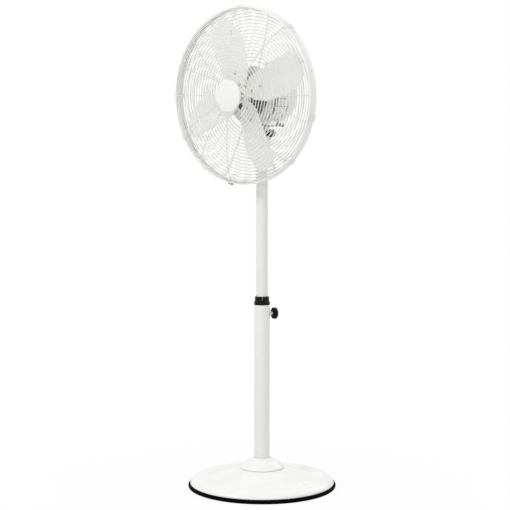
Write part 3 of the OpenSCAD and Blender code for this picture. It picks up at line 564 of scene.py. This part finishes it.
def cover_profile():
    """Sheet of the base cover: skirt, ledge, roll, crease and dome."""
    edge, top = high("base_cover").x, high("base_cover").z
    seat = high("base_edge_ring").z + 0.1
    sheet = 1.4
    skirt = high("base_edge_ring").x - 14.1
    wide, tall = 38, 16.5
    roll_x, roll_z = edge - wide, seat + sheet
    crease_x, crease_z = roll_x - 13, roll_z + tall - 3.6
    foot = high("column_flange").x

    def dome(r):
        return top - (top - crease_z - 0.7) * ((r - foot) / (crease_x - foot)) ** 1.25

    def roll(k, off):
        a = radians(100 * k / 24)
        return (roll_x + (wide - off) * cos(a), roll_z + (tall - off) * sin(a))

    steps = [crease_x - 2 - (crease_x - 2 - foot) * k / 18 for k in range(19)]
    outer = ([(skirt, low("base_cover").z), (skirt, seat), (edge, seat)] + [roll(k, 0) for k in range(25)] +
             [(crease_x, crease_z)] + [(r, dome(r)) for r in steps] + [(6, top)])
    inner = ([(6, top - sheet)] + [(r, dome(r) - sheet) for r in reversed(steps)] +
             [(crease_x, crease_z - sheet)] + [roll(k, sheet) for k in range(24, -1, -1)] +
             [(skirt - sheet, roll_z), (skirt - sheet, low("base_cover").z)])
    return soften(outer + inner, 2.2, 4)


def flange_profile():
    foot, z0, z1 = high("column_flange").x, low("column_flange").z, high("column_flange").z
    tube, web = high("lower_tube").x, low("lower_tube").z
    lip = tube + 6
    slope = []
    for k in range(17):
        u = k / 16
        slope.append((foot - (foot - lip - 2) * u, z0 + 3 + (z1 - z0 - 7) * (1 - (1 - u) ** 1.7)))
    points = ([(5.3, z0), (foot - 2.5, z0)] + slope +
              [(lip, z1 - 1), (lip - 1.5, z1), (tube + 0.1, z1), (tube + 0.1, web), (5.3, web)])
    return soften(points, 1.2, 4)


def cylinder_tool(matrix, radius, z0, z1, sides=48):
    return mesh_of("tool", lambda bm: move(bm, prism(bm, circle(radius, sides), z0, z1), matrix))


def cross_head(bm, radius, height, matrix):
    """Pan head of a cross-recess screw, standing on z = 0."""
    sides = 48
    arm, half = radius * 0.52, radius * 0.13
    rows = [circle(radius * wide, sides, height * tall)
            for wide, tall in ((1, 0), (1, 0.35), (0.93, 0.7), (0.74, 0.93), (0.6, 1))]
    cross = []
    for k in range(sides):
        a = 2 * pi * k / sides
        b = abs((a + pi / 4) % (pi / 2) - pi / 4)
        reach = min(arm / cos(b), half / max(sin(b), 1e-6)) if b < radians(44) else half * 1.45
        cross.append(polar(reach, a))
    rows.append([(x, y, height) for x, y in cross])
    rows.append([(x * 0.8, y * 0.8, height * 0.45) for x, y in cross])
    move(bm, skin(bm, rows), matrix)


def threads(bm, radius, z0, z1, pitch, depth, matrix=Matrix(), plain=0.0):
    """Rod with a screw thread; the first stretch, plain long, is smooth."""
    count, sides = max(4, int((z1 - z0) / pitch * 6)), 28
    rows = []
    for i in range(count + 1):
        z = z0 + (z1 - z0) * i / count
        end = max(0.0, min(1.0, (z1 - z) / pitch, max(0.0, (z - z0 - plain) / pitch)))
        row = []
        for k in range(sides):
            wave = abs(((z / pitch - k / sides) % 1.0) - 0.5) * 2
            r = radius - depth * wave * end - (depth if i in (0, count) else 0) * 0.8
            row.append(polar(r, 2 * pi * k / sides, z))
        rows.append(row)
    move(bm, skin(bm, rows), matrix)


def make_base():
    solid("edge_ring", lambda bm: lathe(bm, ring_profile(), 192), "base", "black_rubber", ["base_edge_ring"])
    solid("base_shell", lambda bm: lathe(bm, cover_profile(), 192), "base", "white_paint", ["base_cover"],
          smooth=30)
    screw_z = (low("flange_screw").z + high("flange_screw").z) / 2
    outward = along((0, 0, screw_z), (0, 1, 0))
    seat = high("lower_tube").x + 12
    tools = [cylinder_tool(outward, 3, high("lower_tube").x - 2, 90),
             cylinder_tool(outward, 5.5, seat, 90)]
    solid("flange", lambda bm: lathe(bm, flange_profile(), 144), "base", "white_paint", ["column_flange"],
          smooth=32, cutters=tools)

    def screw(bm):
        threads(bm, 2.9, low("flange_screw").y, seat + 2, 1, 0.4)
        cross_head(bm, 5, 3.5, at(0, 0, seat))
    solid("flange_set_screw", screw, "base", "steel", ["flange_screw"], place=outward)


# ---- column

def pipe(bm, node):
    """Tube with rounded ends, as long and wide as a CAD node."""
    r, z0, z1, wall = high(node).x, low(node).z, high(node).z, 1.2
    lathe(bm, soften([(r - wall, z0), (r, z0), (r, z1), (r - wall, z1)], 0.3, 3))


def knob(bm, hub, grip, start, end, count, depth):
    """Moulded hand knob along z: hub, grip with finger hollows, dished back and a cap at the front."""
    wall, long = grip * 0.14, end - start
    profile = [
        (0, 0), (hub, 0), (hub, start + long * 0.25), (hub + 0.6, start + long * 0.33),
        (grip - wall * 1.4, start + long * 0.33), (grip - wall, start), (grip - wall * 0.3, start),
        (grip, start + long * 0.18), (grip, end - long * 0.24), (grip - wall * 0.55, end - long * 0.06),
        (grip * 0.72, end - 0.2), (grip * 0.60, end - 0.2), (grip * 0.57, end - 0.9),
        (grip * 0.53, end - 0.9), (grip * 0.50, end - 0.1), (0, end)
    ]

    def hollows(r, z, turn):
        share = min(1.0, max(0.0, (r / grip - 0.6) / 0.4))
        return r * (1 - depth * share * (0.5 + 0.5 * cos(count * turn)) ** 1.6)
    lathe(bm, soften(profile, wall * 0.45, 4, closed=False), 128, closed=False, warp=hollows)


def make_column():
    solid("outer_tube", lambda bm: pipe(bm, "lower_tube"), "base", "tube_paint", ["lower_tube"])
    solid("inner_tube", lambda bm: pipe(bm, "upper_tube"), "mast", "tube_paint", ["upper_tube"])
    tube, slide = high("lower_tube").x, high("upper_tube").x
    top, bottom = high("height_collar").z, low("height_collar").z
    seat = high("lower_tube").z
    cap, throat = high("height_collar").x, slide + 3
    step = seat + (top - seat) * 0.45
    bore = slide + 0.08
    collar = [(bore, bottom), (tube - 1.22, bottom), (tube - 1.22, seat), (cap, seat),
              (cap, seat + 2.2), (cap - 0.35, seat + 2.6), (cap - 0.35, seat + 3.4),
              (cap, seat + 3.8), (cap, step - 1.2), (cap - 1.2, step), (throat + 0.6, step),
              (throat, step + 1), (throat, top - 1.6), (throat - 1.3, top), (bore, top)]
    slot = [(slide - 2, -0.8), (slide + 8, -0.8), (slide + 8, 0.8), (slide - 2, 0.8)]
    slots = [mesh_of("tool", lambda bm: move(bm, prism(bm, slot, step + 2, top + 5), turned(60 * k + 12)))
             for k in range(6)]
    solid("collar", lambda bm: lathe(bm, soften(collar, 0.35, 3), 120), "base", "black_plastic",
          ["height_collar"], cutters=slots)
    clamp = along(joint_at("clamp_turn"), JOINTS["clamp_turn"]["axis"])
    start = tube + 9.5
    boss = [(4.2, tube - 1), (10, tube - 1), (9.2, tube - 0.2),
            (8, tube + 0.9), (8, tube + 2.9), (7.4, tube + 3.5), (4.2, tube + 3.5)]
    solid("clamp_seat", lambda bm: lathe(bm, soften(boss, 0.3, 3), 56), "base", "white_paint", ["clamp_boss"],
          place=clamp)
    solid("clamp_thread", lambda bm: threads(bm, 4, slide + 0.4, start + 4, 1.25, 0.55),
          "clamp", "steel", ["clamp_screw"], place=clamp)
    solid("clamp_handle", lambda bm: knob(bm, 7, 14.5, 2, 11, 8, 0.11), "clamp",
          "black_plastic", ["clamp_knob"], place=clamp @ at(0, 0, start), smooth=30)


# ---- tilt hinge and neck

def tangent_turn(a, b):
    step = Vector((b[0] - a[0], b[1] - a[1]))
    return atan2(step.y, step.x) - pi / 2 + asin((a[2] - b[2]) / step.length)


def wrap(discs, steps):
    """Outline drawn tightly round circles (x, y, radius), anticlockwise."""
    made = []
    n = len(discs)
    for i, c in enumerate(discs):
        first = tangent_turn(discs[i - 1], c)
        last = tangent_turn(c, discs[(i + 1) % n])
        if last < first:
            last += 2 * pi
        for k in range(steps + 1):
            a = first + (last - first) * k / steps
            x, y = polar(c[2], a)
            made.append((c[0] + x, c[1] + y))
    return made


def make_hinge():
    top = high("upper_tube").z
    tube = high("upper_tube").x
    socket = tube + 2.6
    z0 = low("tilt_yoke").z
    web = top + 11
    cup = [(tube + 0.02, z0), (socket - 0.4, z0), (socket, z0 + 0.8), (socket, web - 2.5),
           (socket - 2.2, web), (0, web), (0, top), (tube + 0.02, top)]
    ears = 10, high("tilt_yoke").x

    def yoke(bm):
        lathe(bm, soften(cup, 0.8, 4), 96)
        shape = wrap([(-11, top + 3, 1), (11, top + 3, 1), (0, PIVOT_Z, 12)], 20)
        stand = Matrix(((0, 0, 1, 0), (1, 0, 0, 0), (0, 1, 0, 0), (0, 0, 0, 1)))
        for x0, x1 in ((-ears[1], -ears[0]), ears):
            move(bm, prism(bm, shape, x0, x1), stand)
    hinge = along((0, 0, PIVOT_Z), (1, 0, 0))
    solid("fork", yoke, "mast", "white_paint", ["tilt_yoke"], smooth=30, bevel=0.7,
          cutters=[cylinder_tool(hinge, 4.05, -30, 30)])
    ends = low("tilt_bolt").x, high("tilt_bolt").x
    solid("tilt_thread", lambda bm: threads(bm, 4, *ends, 1.25, 0.5, plain=7), "tilt_knob", "dark_steel",
          ["tilt_bolt"], place=hinge)
    start, end = low("tilt_knob").x, high("tilt_knob").x
    grip = (high("tilt_knob").z - low("tilt_knob").z) / 2
    solid("tilt_handle", lambda bm: knob(bm, 6.5, grip, 6, end - start, 6, 0.14), "tilt_knob",
          "black_plastic", ["tilt_knob"], place=along((start, 0, PIVOT_Z), (1, 0, 0)), smooth=30)
    solid("hinge_nut", lambda bm: hexagon(bm, 7, 0, 4, 4.1), "mast", "dark_steel", ["tilt_nut"],
          place=along((low("tilt_nut").x, 0, PIVOT_Z), (1, 0, 0)))


def hexagon(bm, radius, z0, z1, bore):
    """Hexagon nut with chamfered corners and a round bore."""
    sides = 48
    flat = radius * cos(pi / 6)
    drop = (z1 - z0) * 0.12
    turns = [2 * pi * k / sides for k in range(sides)]
    side = [flat / cos((a + pi / 6) % (pi / 3) - pi / 6) for a in turns]
    face = [min(r, flat * 1.02) for r in side]
    hole = [bore] * sides
    rows = [[bm.verts.new(polar(r, a, z)) for r, a in zip(radii, turns)] for radii, z in
            ((hole, z0), (face, z0), (side, z0 + drop), (side, z1 - drop), (face, z1), (hole, z1))]
    bridge(bm, rows + rows[:1])


def make_neck():
    a, b = head_box("swing_block")
    corner = 5
    x, y = (b.x - a.x) / 2 - corner, (b.z - a.z) / 2 - corner
    outline = wrap([(-x, -y, corner), (x, -y, corner), (x, y, corner), (-x, y, corner)], 8)
    motor = high("motor_shell").x
    solid("swing_saddle", lambda bm: prism(bm, outline, a.y, b.y + 5), "head", "white_paint", ["swing_block"],
          place=HEAD @ along((0, 0, 0), (0, 1, 0)), smooth=30, bevel=0.8,
          cutters=[cylinder_tool(along((0, 0, 0), (0, 1, 0)), motor + 0.05, -100, 100, 128)])


# ---- motor

def thicken(obj, thickness, bevel, offset=-1.0):
    """Gives a sheet its thickness and soft edges."""
    mod = obj.modifiers.new("wall", "SOLIDIFY")
    mod.thickness, mod.offset, mod.use_even_offset = thickness * MM, offset, True
    round_edges(obj, bevel, 50)
    bake(obj)
    smooth_shade(obj, 35)


def make_motor():
    back, front = ahead("motor_shell")
    r = high("motor_shell").x
    seat = ahead("guard_plate")[0] - 0.1
    nose, seam, vent_back = 46, 8, -28
    profile = [(r, back), (r, vent_back), (r, seam), (r, seat - 4), (r - 4, seat), (nose, seat),
               (nose, front - 2), (nose - 2, front), (38, front), (20, front), (12.5, front),
               (11.5, front - 0.8), (5, front - 0.8)]

    # twenty slots round the side, 2 degrees wide, and twelve in the face, 6 degrees wide
    def vents(radius, z, turn):
        side = abs(radius - r) < 1 and vent_back < z < seam and (turn - 8) % 18 < 2
        face = 20 < radius < 38 and abs(z - front) < 0.1 and (turn + 3) % 30 < 6
        return side or face

    def shell(bm, left_out):
        lathe(bm, soften(profile, 1.5, 4, closed=False), 360, closed=False,
              gap=lambda radius, z, turn: left_out(z) or vents(radius, z, turn))
    # the front of the shell takes the dark casting colour and the side takes white paint: the split is partly a
    # two-tone finish, partly painted shade on the front that lies in shadow behind the blades
    thicken(solid("motor_front", lambda bm: shell(bm, lambda z: z < seam), "head", "motor_casting",
                  ["motor_shell"], place=HEAD), 2, 0.35)
    thicken(solid("motor_side", lambda bm: shell(bm, lambda z: z > seam), "head", "white_paint",
                  place=HEAD), 2, 0.35)
    end, start = ahead("motor_rear_cover")
    switch, gland = (0, 26), (0, -30)
    bend, wall = 20, 1.8

    def corner(radius):
        quarter = [polar(radius, radians(90 * k / 16 - 90)) for k in range(17)]
        return [(r - bend + x, end + bend + z) for x, z in quarter]
    points = [(0, end), *corner(bend), (r, start - 3.4), (r - 0.5, start - 3), (r - 0.5, start - 2.2),
              (r, start - 1.8), (r, start), (r - wall, start), *corner(bend - wall)[::-1], (0, end + wall)]
    tools = []
    for k in range(9):
        outline = [(y + (k - 4) * 6, x - 8) for x, y in slot_outline(20, 2.4)]
        tools.append(mesh_of("tool", lambda bm: prism(bm, outline, end - 5, end + 5)))
    wheel, crank = TO_HEAD @ joint_at("worm_wheel_spin"), TO_HEAD @ joint_at("crank_turn")
    tools += [cylinder_tool(at(*switch, 0), 3.4, end - 5, end + 5),
              cylinder_tool(at(*gland, 0), 6, end - 5, end + 5),
              cylinder_tool(along((wheel.x, 0, wheel.z), (0, 1, 0)), 3.2, 30, 90),
              cylinder_tool(along((crank.x, 0, crank.z), (0, -1, 0)), 4.5, 30, 90)]
    solid("motor_back", lambda bm: lathe(bm, points, 144, closed=False), "head", "white_paint",
          ["motor_rear_cover"], place=HEAD, smooth=28, cutters=tools)
    make_controls(end, switch, gland, wheel)


def make_controls(end, switch, gland, wheel):
    """Speed knob, dial, cord gland and swing button."""
    # the knob and the gland look backwards: their own z points away from the cover
    dial, gland_at = (HEAD @ at(*hole, end) @ turned(180, "Y") for hole in (switch, gland))

    def speed(bm):
        lathe(bm, soften([(0, -10), (3, -10), (3, 1), (13.4, 1), (14, 1.8), (13.6, 3), (11, 4), (10.6, 14),
                          (9.4, 15), (0, 15)], 0.4, 3, closed=False), 120, closed=False,
              warp=lambda r, z, a: r + (0.22 * cos(40 * a) if z > 4.3 and r > 9 else 0))
        grip = wrap([(0, -12, 2.2), (0, 12, 2.2)], 8)
        prism(bm, grip, 4, 16)
    solid("speed_dial", speed, "speed_knob", "black_plastic", ["speed_knob"], place=dial, smooth=32)
    solid("speed_mark", lambda bm: prism(bm, wrap([(0, 5, 0.5), (0, 13, 0.5)], 6), 15.9, 16),
          "speed_knob", "badge_plastic", place=dial)
    for k in range(4):
        number = dial_number(k, dial @ turned(-45 * k) @ at(0, 17.2, 0.05))
        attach(number, "head")

    body = [(3.4, -3.8), (6, -3.8), (6, 0), (8.1, 0), (8.5, 0.6), (8.5, 2.4), (7.6, 3)]
    for k in range(3):
        z = 3 + 1.6 * k
        body += [(6, z + 0.1), (6, z + 0.9), (5.1, z + 1.0), (5.1, z + 1.5)]
    body += [(5.6, 8), (3.4, 8)]
    solid("cord_gland", lambda bm: lathe(bm, soften(body, 0.2, 2), 64), "head", "black_plastic",
          ["cable_gland"], place=gland_at)

    button = head_box("clutch_knob")
    h = button[1].y - button[0].y
    head_l = 16
    stem = [(0, 0), (2.5, 0), (2.5, h - head_l), (6.4, h - head_l), (7, h - head_l + 0.6),
            (7, h - head_l + 5), (8.2, h - head_l + 8), (9, h - 4), (8.2, h - 1.5), (5.5, h - 0.4), (0, h)]

    def ribs(r, z, turn):
        return r - (0.25 * (0.5 + 0.5 * cos(24 * turn)) if r > 8.1 else 0)
    outline = soften(stem, 0.5, 4, closed=False)
    solid("swing_button", lambda bm: lathe(bm, outline, 120, closed=False, warp=ribs),
          "clutch_knob", "badge_plastic", ["clutch_knob"],
          place=HEAD @ along((wheel.x, button[0].y, wheel.z), (0, 1, 0)), smooth=30)


def dial_number(value, place):
    name = f"dial_number_{value}"
    curve = bpy.data.curves.new(name, "FONT")
    curve.body, curve.size, curve.extrude = str(value), 3.4 * MM, 0.05 * MM
    curve.align_x, curve.align_y = "CENTER", "CENTER"
    text = add_object("text", curve)
    bpy.context.view_layer.update()
    mesh = bpy.data.meshes.new_from_object(text.evaluated_get(bpy.context.evaluated_depsgraph_get()))
    bpy.data.objects.remove(text)
    mesh.materials.clear()
    mesh.materials.append(material("black_plastic"))
    obj = add_object(name, mesh)
    obj.matrix_world = metres(place)
    return obj


# ---- blades

BLADE_PITCH = 12
BLADE_DEPTH = 66
RIVETS = (30, 60)
SHEET = 1.2
BEND = 360


def blade_frames():
    """Matrix of each blade: x along the blade, y across it, z through it."""
    centres = sorted((middle_of(g) for g in islands("blade_rivets")), key=lambda p: -p.xy.length)
    # a rivet's middle lies behind the sheet, so the pitch moves it sideways
    shift = asin(1.8 * sin(radians(BLADE_PITCH)) / centres[0].xy.length)
    turns = sorted(atan2(p.y, p.x) - shift for p in centres[:4])
    return [HEAD @ turned(degrees(a)) @ at(0, 0, BLADE_DEPTH) @ turned(BLADE_PITCH, "X") for a in turns]


def span_at(outline, x):
    """Lowest and highest y of a convex outline at x."""
    ys = []
    for (x0, y0), (x1, y1) in zip(outline, outline[1:] + outline[:1]):
        if (x0 - x) * (x1 - x) <= 0 and abs(x1 - x0) > 1e-9:
            ys.append(y0 + (y1 - y0) * (x - x0) / (x1 - x0))
    return min(ys), max(ys)


def cosine_steps(count):
    """0 to 1, with short steps at both ends."""
    return [0.5 - 0.5 * cos(pi * k / count) for k in range(count + 1)]


def leaf(bm, outline, back, lift, columns=56, rows=28):
    """Bent sheet inside a convex outline, seen along z; lift(x, y, inset) adds to its height."""
    x0, x1 = min(p[0] for p in outline), max(p[0] for p in outline)
    grid = []
    for u in cosine_steps(columns):
        x = x0 + (x1 - x0) * (0.0004 + 0.9992 * u)
        y0, y1 = span_at(outline, x)
        column = []
        for v in cosine_steps(rows):
            y = y0 + (y1 - y0) * v
            z = BEND - sqrt((BEND + back) ** 2 - y * y) + lift(x, y, min(y - y0, y1 - y, x - x0, x1 - x))
            column.append(bm.verts.new((x, y, z)))
        grid.append(column)
    bridge(bm, grid, loop=False)


def ease(value, start, end):
    """0 before start, 1 after end, smooth between."""
    t = min(1.0, max(0.0, (value - start) / (end - start)))
    return t * t * (3 - 2 * t)


def make_blades():
    tip = 188.5
    paddle = wrap([(32, -13, 10), (62, -29, 10), (tip - 58, -14, 35), (tip - 28, -10, 27.5),
                   (tip - 21.5, 17, 21), (46, 22, 10.5), (32, 13, 10)], 14)
    arm = wrap([(8, -10, 3), (66, -7, 5), (66, 7, 5), (8, 10, 3)], 10)
    thick = 2.4

    def lip(x, y, inset):
        return -0.5 * (1 - ease(inset, 0, 3.5)) * ease(x, 78, 95)

    def flat(x, y, inset):
        return 0

    frames = blade_frames()
    for k, place in enumerate(frames):
        blade = solid(f"blade_{k + 1}", lambda bm: leaf(bm, paddle, 0, lip), "fan", "blade_paint",
                      ["fan_blades"] if k == 0 else (), place=place)
        thicken(blade, SHEET, 0.3, offset=-1.0 if upward(blade) else 1.0)
        spoke = solid(f"spider_arm_{k + 1}", lambda bm: leaf(bm, arm, SHEET + 0.02, flat, 30, 12),
                      "fan", "white_paint", place=place)
        thicken(spoke, thick, 0.5, offset=-1.0 if upward(spoke) else 1.0)

    def rivets(bm):
        back = SHEET + thick + 0.1
        shape = [(0, 1.5), (1.6, 1.4), (3, 0.95), (3.9, 0.3), (4, 0.1), (2.38, 0.1), (2.38, -back),
                 (4, -back), (3.9, -back - 0.3), (2.8, -back - 1), (2.3, -back - 1.35),
                 (1.2, -back - 1.4), (1, -back - 0.7), (0, -back - 0.6)]
        for place in frames:
            for x in RIVETS:
                move(bm, lathe(bm, shape, 32, closed=False), place @ at(x, 0, 0))
    solid("rivets", rivets, "fan", "steel", ["blade_rivets"], smooth=50)
    hub_r = 15
    hub_back, hub_front = BLADE_DEPTH - 14, BLADE_DEPTH + 8
    hub = [(4, hub_back), (hub_r - 1, hub_back), (hub_r, hub_back + 1), (hub_r, hub_front - 5),
           (hub_r - 0.7, hub_front - 4.4), (hub_r - 0.7, hub_front - 3),
           (hub_r - 2.2, hub_front - 0.6), (hub_r - 3.2, hub_front), (4, hub_front)]
    screw_at = at(0, 0, hub_back + 5) @ turned(67) @ turned(90, "Y")
    solid("spider_hub", lambda bm: lathe(bm, soften(hub, 0.4, 3), 96), "fan", "white_paint", ["spider"],
          place=HEAD, smooth=32, cutters=[cylinder_tool(screw_at, 2.6, 9, 20, 32)])
    solid("hub_set_screw", lambda bm: cross_head(bm, 2.5, 2.4, screw_at @ at(0, 0, 10.5)),
          "fan", "dark_steel", place=HEAD)
    n0, n1 = ahead("hub_nut")

    def nut(bm):
        hexagon(bm, 9, n0 + 1.4, n1, 4.2)
        washer = [(4.2, n0), (10.4, n0), (10.4, n0 + 0.8), (9.4, n0 + 1.5), (4.2, n0 + 1.5)]
        lathe(bm, soften(washer, 0.25, 2), 64)
    solid("retaining_nut", nut, "fan", "pale_plastic", ["hub_nut"], place=HEAD, smooth=30)


def upward(obj):
    """Whether the sheet's faces look along its own z."""
    return sum(p.normal.z * p.area for p in obj.data.polygons) > 0


# ---- guard

RING_WIRE, STRUT_WIRE, EDGE_WIRE = 1.0, 1.25, 2.2
BOW = 2.2


def hoops(node):
    """Centre radius and place ahead of each ring of a guard, widest first."""
    found = []
    for group in islands(node):
        radii = [p.xy.length for p in group]
        depths = [p.z for p in group]
        found.append(((min(radii) + max(radii)) / 2, (min(depths) + max(depths)) / 2))
    return sorted(found, reverse=True)


def make_half_guard(side, forward):
    """Rings and struts of the front or rear guard."""
    rings = hoops(f"{side}_rings")
    edge_r, edge_z = rings[0]

    def ring_wires(bm):
        torus(bm, edge_r, edge_z, EDGE_WIRE, 192, 12)
        for radius, depth in rings[1:]:
            torus(bm, radius, depth, RING_WIRE, 144, 10)
    solid(f"{side}_guard_rings", ring_wires, "head", "guard_wire", [f"{side}_rings"], place=HEAD, smooth=60)
    reach = edge_r - EDGE_WIRE - STRUT_WIRE - 0.1
    back, front = ahead(f"{side}_struts")
    inner = min(p.xy.length for g in islands(f"{side}_struts") for p in g)

    def rise(r):
        return max(0.0, 1 - (r / reach) ** BOW) ** (1 / BOW)
    far = (front - STRUT_WIRE) if forward > 0 else (back + STRUT_WIRE)
    depth = abs(far - edge_z) / rise(inner)

    def strut_wires(bm):
        for group in islands(f"{side}_struts"):
            middle = middle_of(group)
            turn = atan2(middle.y, middle.x)
            radii = [inner + (reach - inner) * sin(radians(87.5) * k / 32) for k in range(33)]
            path = [polar(r, turn, edge_z + forward * depth * rise(r)) for r in radii]
            path += [polar(reach, turn, edge_z + forward * 1.2), polar(reach, turn, edge_z)]
            sweep_wire(bm, path, STRUT_WIRE, 10)
            # weld spots where the rings cross
            for radius, place in rings[1:]:
                slope = (rise(radius + 1) - rise(radius - 1)) / 2 * depth
                tilt = hypot(1, slope)
                gap = RING_WIRE + STRUT_WIRE + 0.1
                foot = radius + gap * slope / tilt
                spot = Vector(polar(foot, turn, edge_z + forward * depth * rise(foot)))
                crossing = Vector(polar(radius, turn, place))
                bead = bmesh.ops.create_icosphere(bm, subdivisions=1, radius=1.0)["verts"]
                move(bm, bead, along(spot.lerp(crossing, 0.52), crossing - spot) @
                     Matrix.Diagonal((1.5, 1.5, 0.9, 1)))
    solid(f"{side}_guard_struts", strut_wires, "head", "guard_wire", [f"{side}_struts"],
          place=HEAD, smooth=60)


def make_rim():
    """Band round the guard with its closing screw and the clips."""
    back, front = ahead("rim_band")
    middle, half = (back + front) / 2, (front - back) / 2
    outer = max(p.xy.length for p in islands("rim_clips")[0]) - 1.5
    wall, lip = 1.2, 4.5
    screw = [sum(v) / 2 for v in zip(*head_box("rim_screw"))]
    split = degrees(atan2(screw[1], screw[0]))
    channel = [(outer - lip, middle - half), (outer, middle - half),
               (outer, middle + half), (outer - lip, middle + half),
               (outer - lip, middle + half - wall), (outer - wall, middle + half - wall),
               (outer - wall, middle - half + wall), (outer - lip, middle - half + wall)]
    gap = degrees(1 / outer)

    def band(bm):
        lathe(bm, soften(channel, 1.1, 4), 288, start=split + gap, sweep=360 - 2 * gap)
        ear = [(outer - 0.9, middle - 5), (outer + 6, middle - 5), (outer + 6, middle + 5),
               (outer - 0.9, middle + 5)]
        stand = turned(split) @ Matrix(((1, 0, 0, 0), (0, 0, 1, 0), (0, 1, 0, 0), (0, 0, 0, 1)))
        for y in (-5, 3):
            move(bm, prism(bm, soften(ear, 1.8, 4), y, y + 2), stand)
    solid("guard_rim", band, "head", "white_paint", ["rim_band"], place=HEAD, smooth=32)
    lug = HEAD @ turned(split) @ at(outer + 3, 0, middle) @ turned(-90, "X")

    def screw_shape(bm):
        cross_head(bm, 2.8, 2.5, at(0, 0, -5.05) @ turned(180, "X"))
        threads(bm, 1.5, -5.1, 6.9, 0.7, 0.3)
        hexagon(bm, 2.9, 5, 7, 1.4)
    solid("rim_closing_screw", screw_shape, "head", "black_plastic", ["rim_screw"], place=lug, smooth=40)

    def clips(bm):
        r, t = outer + 0.1, 1.4
        wide = half + 0.1
        hook = [(r - 5, middle - wide - t), (r + t, middle - wide - t), (r + t, middle + wide + t),
                (r - 5, middle + wide + t), (r - 5, middle + wide), (r, middle + wide),
                (r, middle - wide), (r - 5, middle - wide)]
        for group in islands("rim_clips"):
            mid = middle_of(group)
            turn = degrees(atan2(mid.y, mid.x))
            arc = degrees(14 / outer)
            lathe(bm, soften(hook, 0.9, 3), 8, start=turn - arc / 2, sweep=arc)
    solid("guard_clips", clips, "head", "guard_wire", ["rim_clips"], place=HEAD, smooth=32, bevel=0.2)


def make_centre():
    """Plate and bare badge in the middle of the front guard."""
    p0, p1 = ahead("front_plate")
    b0, b1 = ahead("badge")
    disc = high("front_plate").x
    plate = [(0, p0), (disc - 3, p0), (disc - 1, p0 + 0.6), (disc, p0 + 1.6), (disc, p1 - 0.5),
             (disc - 0.5, p1), (0, p1)]
    solid("centre_plate", lambda bm: lathe(bm, soften(plate, 0.3, 3, closed=False), 128, closed=False),
          "head", "guard_wire", ["front_plate"], place=HEAD)
    r = high("badge").x
    tall = b1 - b0
    dome = [(0, b0), (r - 0.6, b0), (r, b0 + 0.5), (r, b0 + 1.2), (r - 0.5, b0 + 1.7),
            (r - 1.6, b0 + 1.9), (r - 2.2, b0 + 1.75), (r - 2.8, b0 + 1.95)]
    for k in range(1, 15):
        left = 1 - k / 14
        dome.append(((r - 2.8) * left, b0 + tall - (tall - 1.95) * left ** 2.4))
    solid("centre_badge", lambda bm: lathe(bm, dome, 128, closed=False), "head", "badge_plastic", ["badge"],
          place=HEAD, smooth=40)


def make_guard_seat():
    """Ring that holds the rear guard against the motor, and its screws."""
    g0, g1 = ahead("guard_plate")
    inner, rim = 49, high("guard_plate").x
    sheet = [(inner, g0), (inner + 7, g0), (inner + 12, g0), (rim - 2.5, g0), (rim, g0 + 0.4),
             (rim, g1), (rim - 1, g1), (rim - 3, g1 - 0.6), (inner + 13, g1 - 0.6),
             (inner + 11, g1), (inner + 1, g1), (inner, g1 - 0.5)]
    places = [middle_of(group).xy for group in islands("guard_screws")]
    tools = [cylinder_tool(at(*p, 0), 2.2, g0 - 10, g1 + 10, 24) for p in places]
    solid("guard_seat", lambda bm: lathe(bm, soften(sheet, 0.25, 2), 128), "head", "white_paint",
          ["guard_plate"], place=HEAD, smooth=35, cutters=tools)

    def screws(bm):
        for p in places:
            cross_head(bm, 3.8, 2, at(*p, g1))
            threads(bm, 2, ahead("guard_screws")[0], g1, 0.8, 0.3, at(*p, 0))
    solid("guard_fixings", screws, "head", "steel", ["guard_screws"], place=HEAD, smooth=40)


# ---- the CAD nodes that stay

def finish_cad_nodes():
    slots = {s["node"]: s["material_slot"] for s in frame["record"]["subparts"]}
    for name, obj in frame["nodes"].items():
        if obj.hide_render:
            continue
        obj.data.materials.clear()
        obj.data.materials.append(material(slots[name]))


def make_floor():
    def build(bm):
        rings, sides, radius, z = 14, 96, 6000, -0.2
        rows = [[bm.verts.new(p) for p in circle(radius * (i / rings) ** 2, sides, z)]
                for i in range(1, rings + 1)]
        bm.faces.new(rows[0])
        bridge(bm, rows)
    floor = add_object("floor", mesh_of("floor", build))
    floor.data.materials.append(make_floor_material())


make_camera()
make_world(0.2, 0.78)
area_lamp("key", (-0.8, -2.9, 2.6), (0, 0, 0.8), 1.6, 37, (1, 0.995, 0.985))
area_lamp("fill", (2.8, -1.6, 1.6), (0, 0, 0.6), 2.0, 12, (0.985, 0.99, 1))
area_lamp("back", (0.6, 2.8, 2.2), (0, 0, 0.8), 1.8, 14)
make_floor()
make_base()
make_column()
make_hinge()
make_neck()
make_motor()
make_blades()
make_half_guard("front", 1)
make_half_guard("rear", -1)
make_rim()
make_centre()
make_guard_seat()
finish_cad_nodes()

scene = bpy.context.scene
scene.view_settings.view_transform = "Standard"
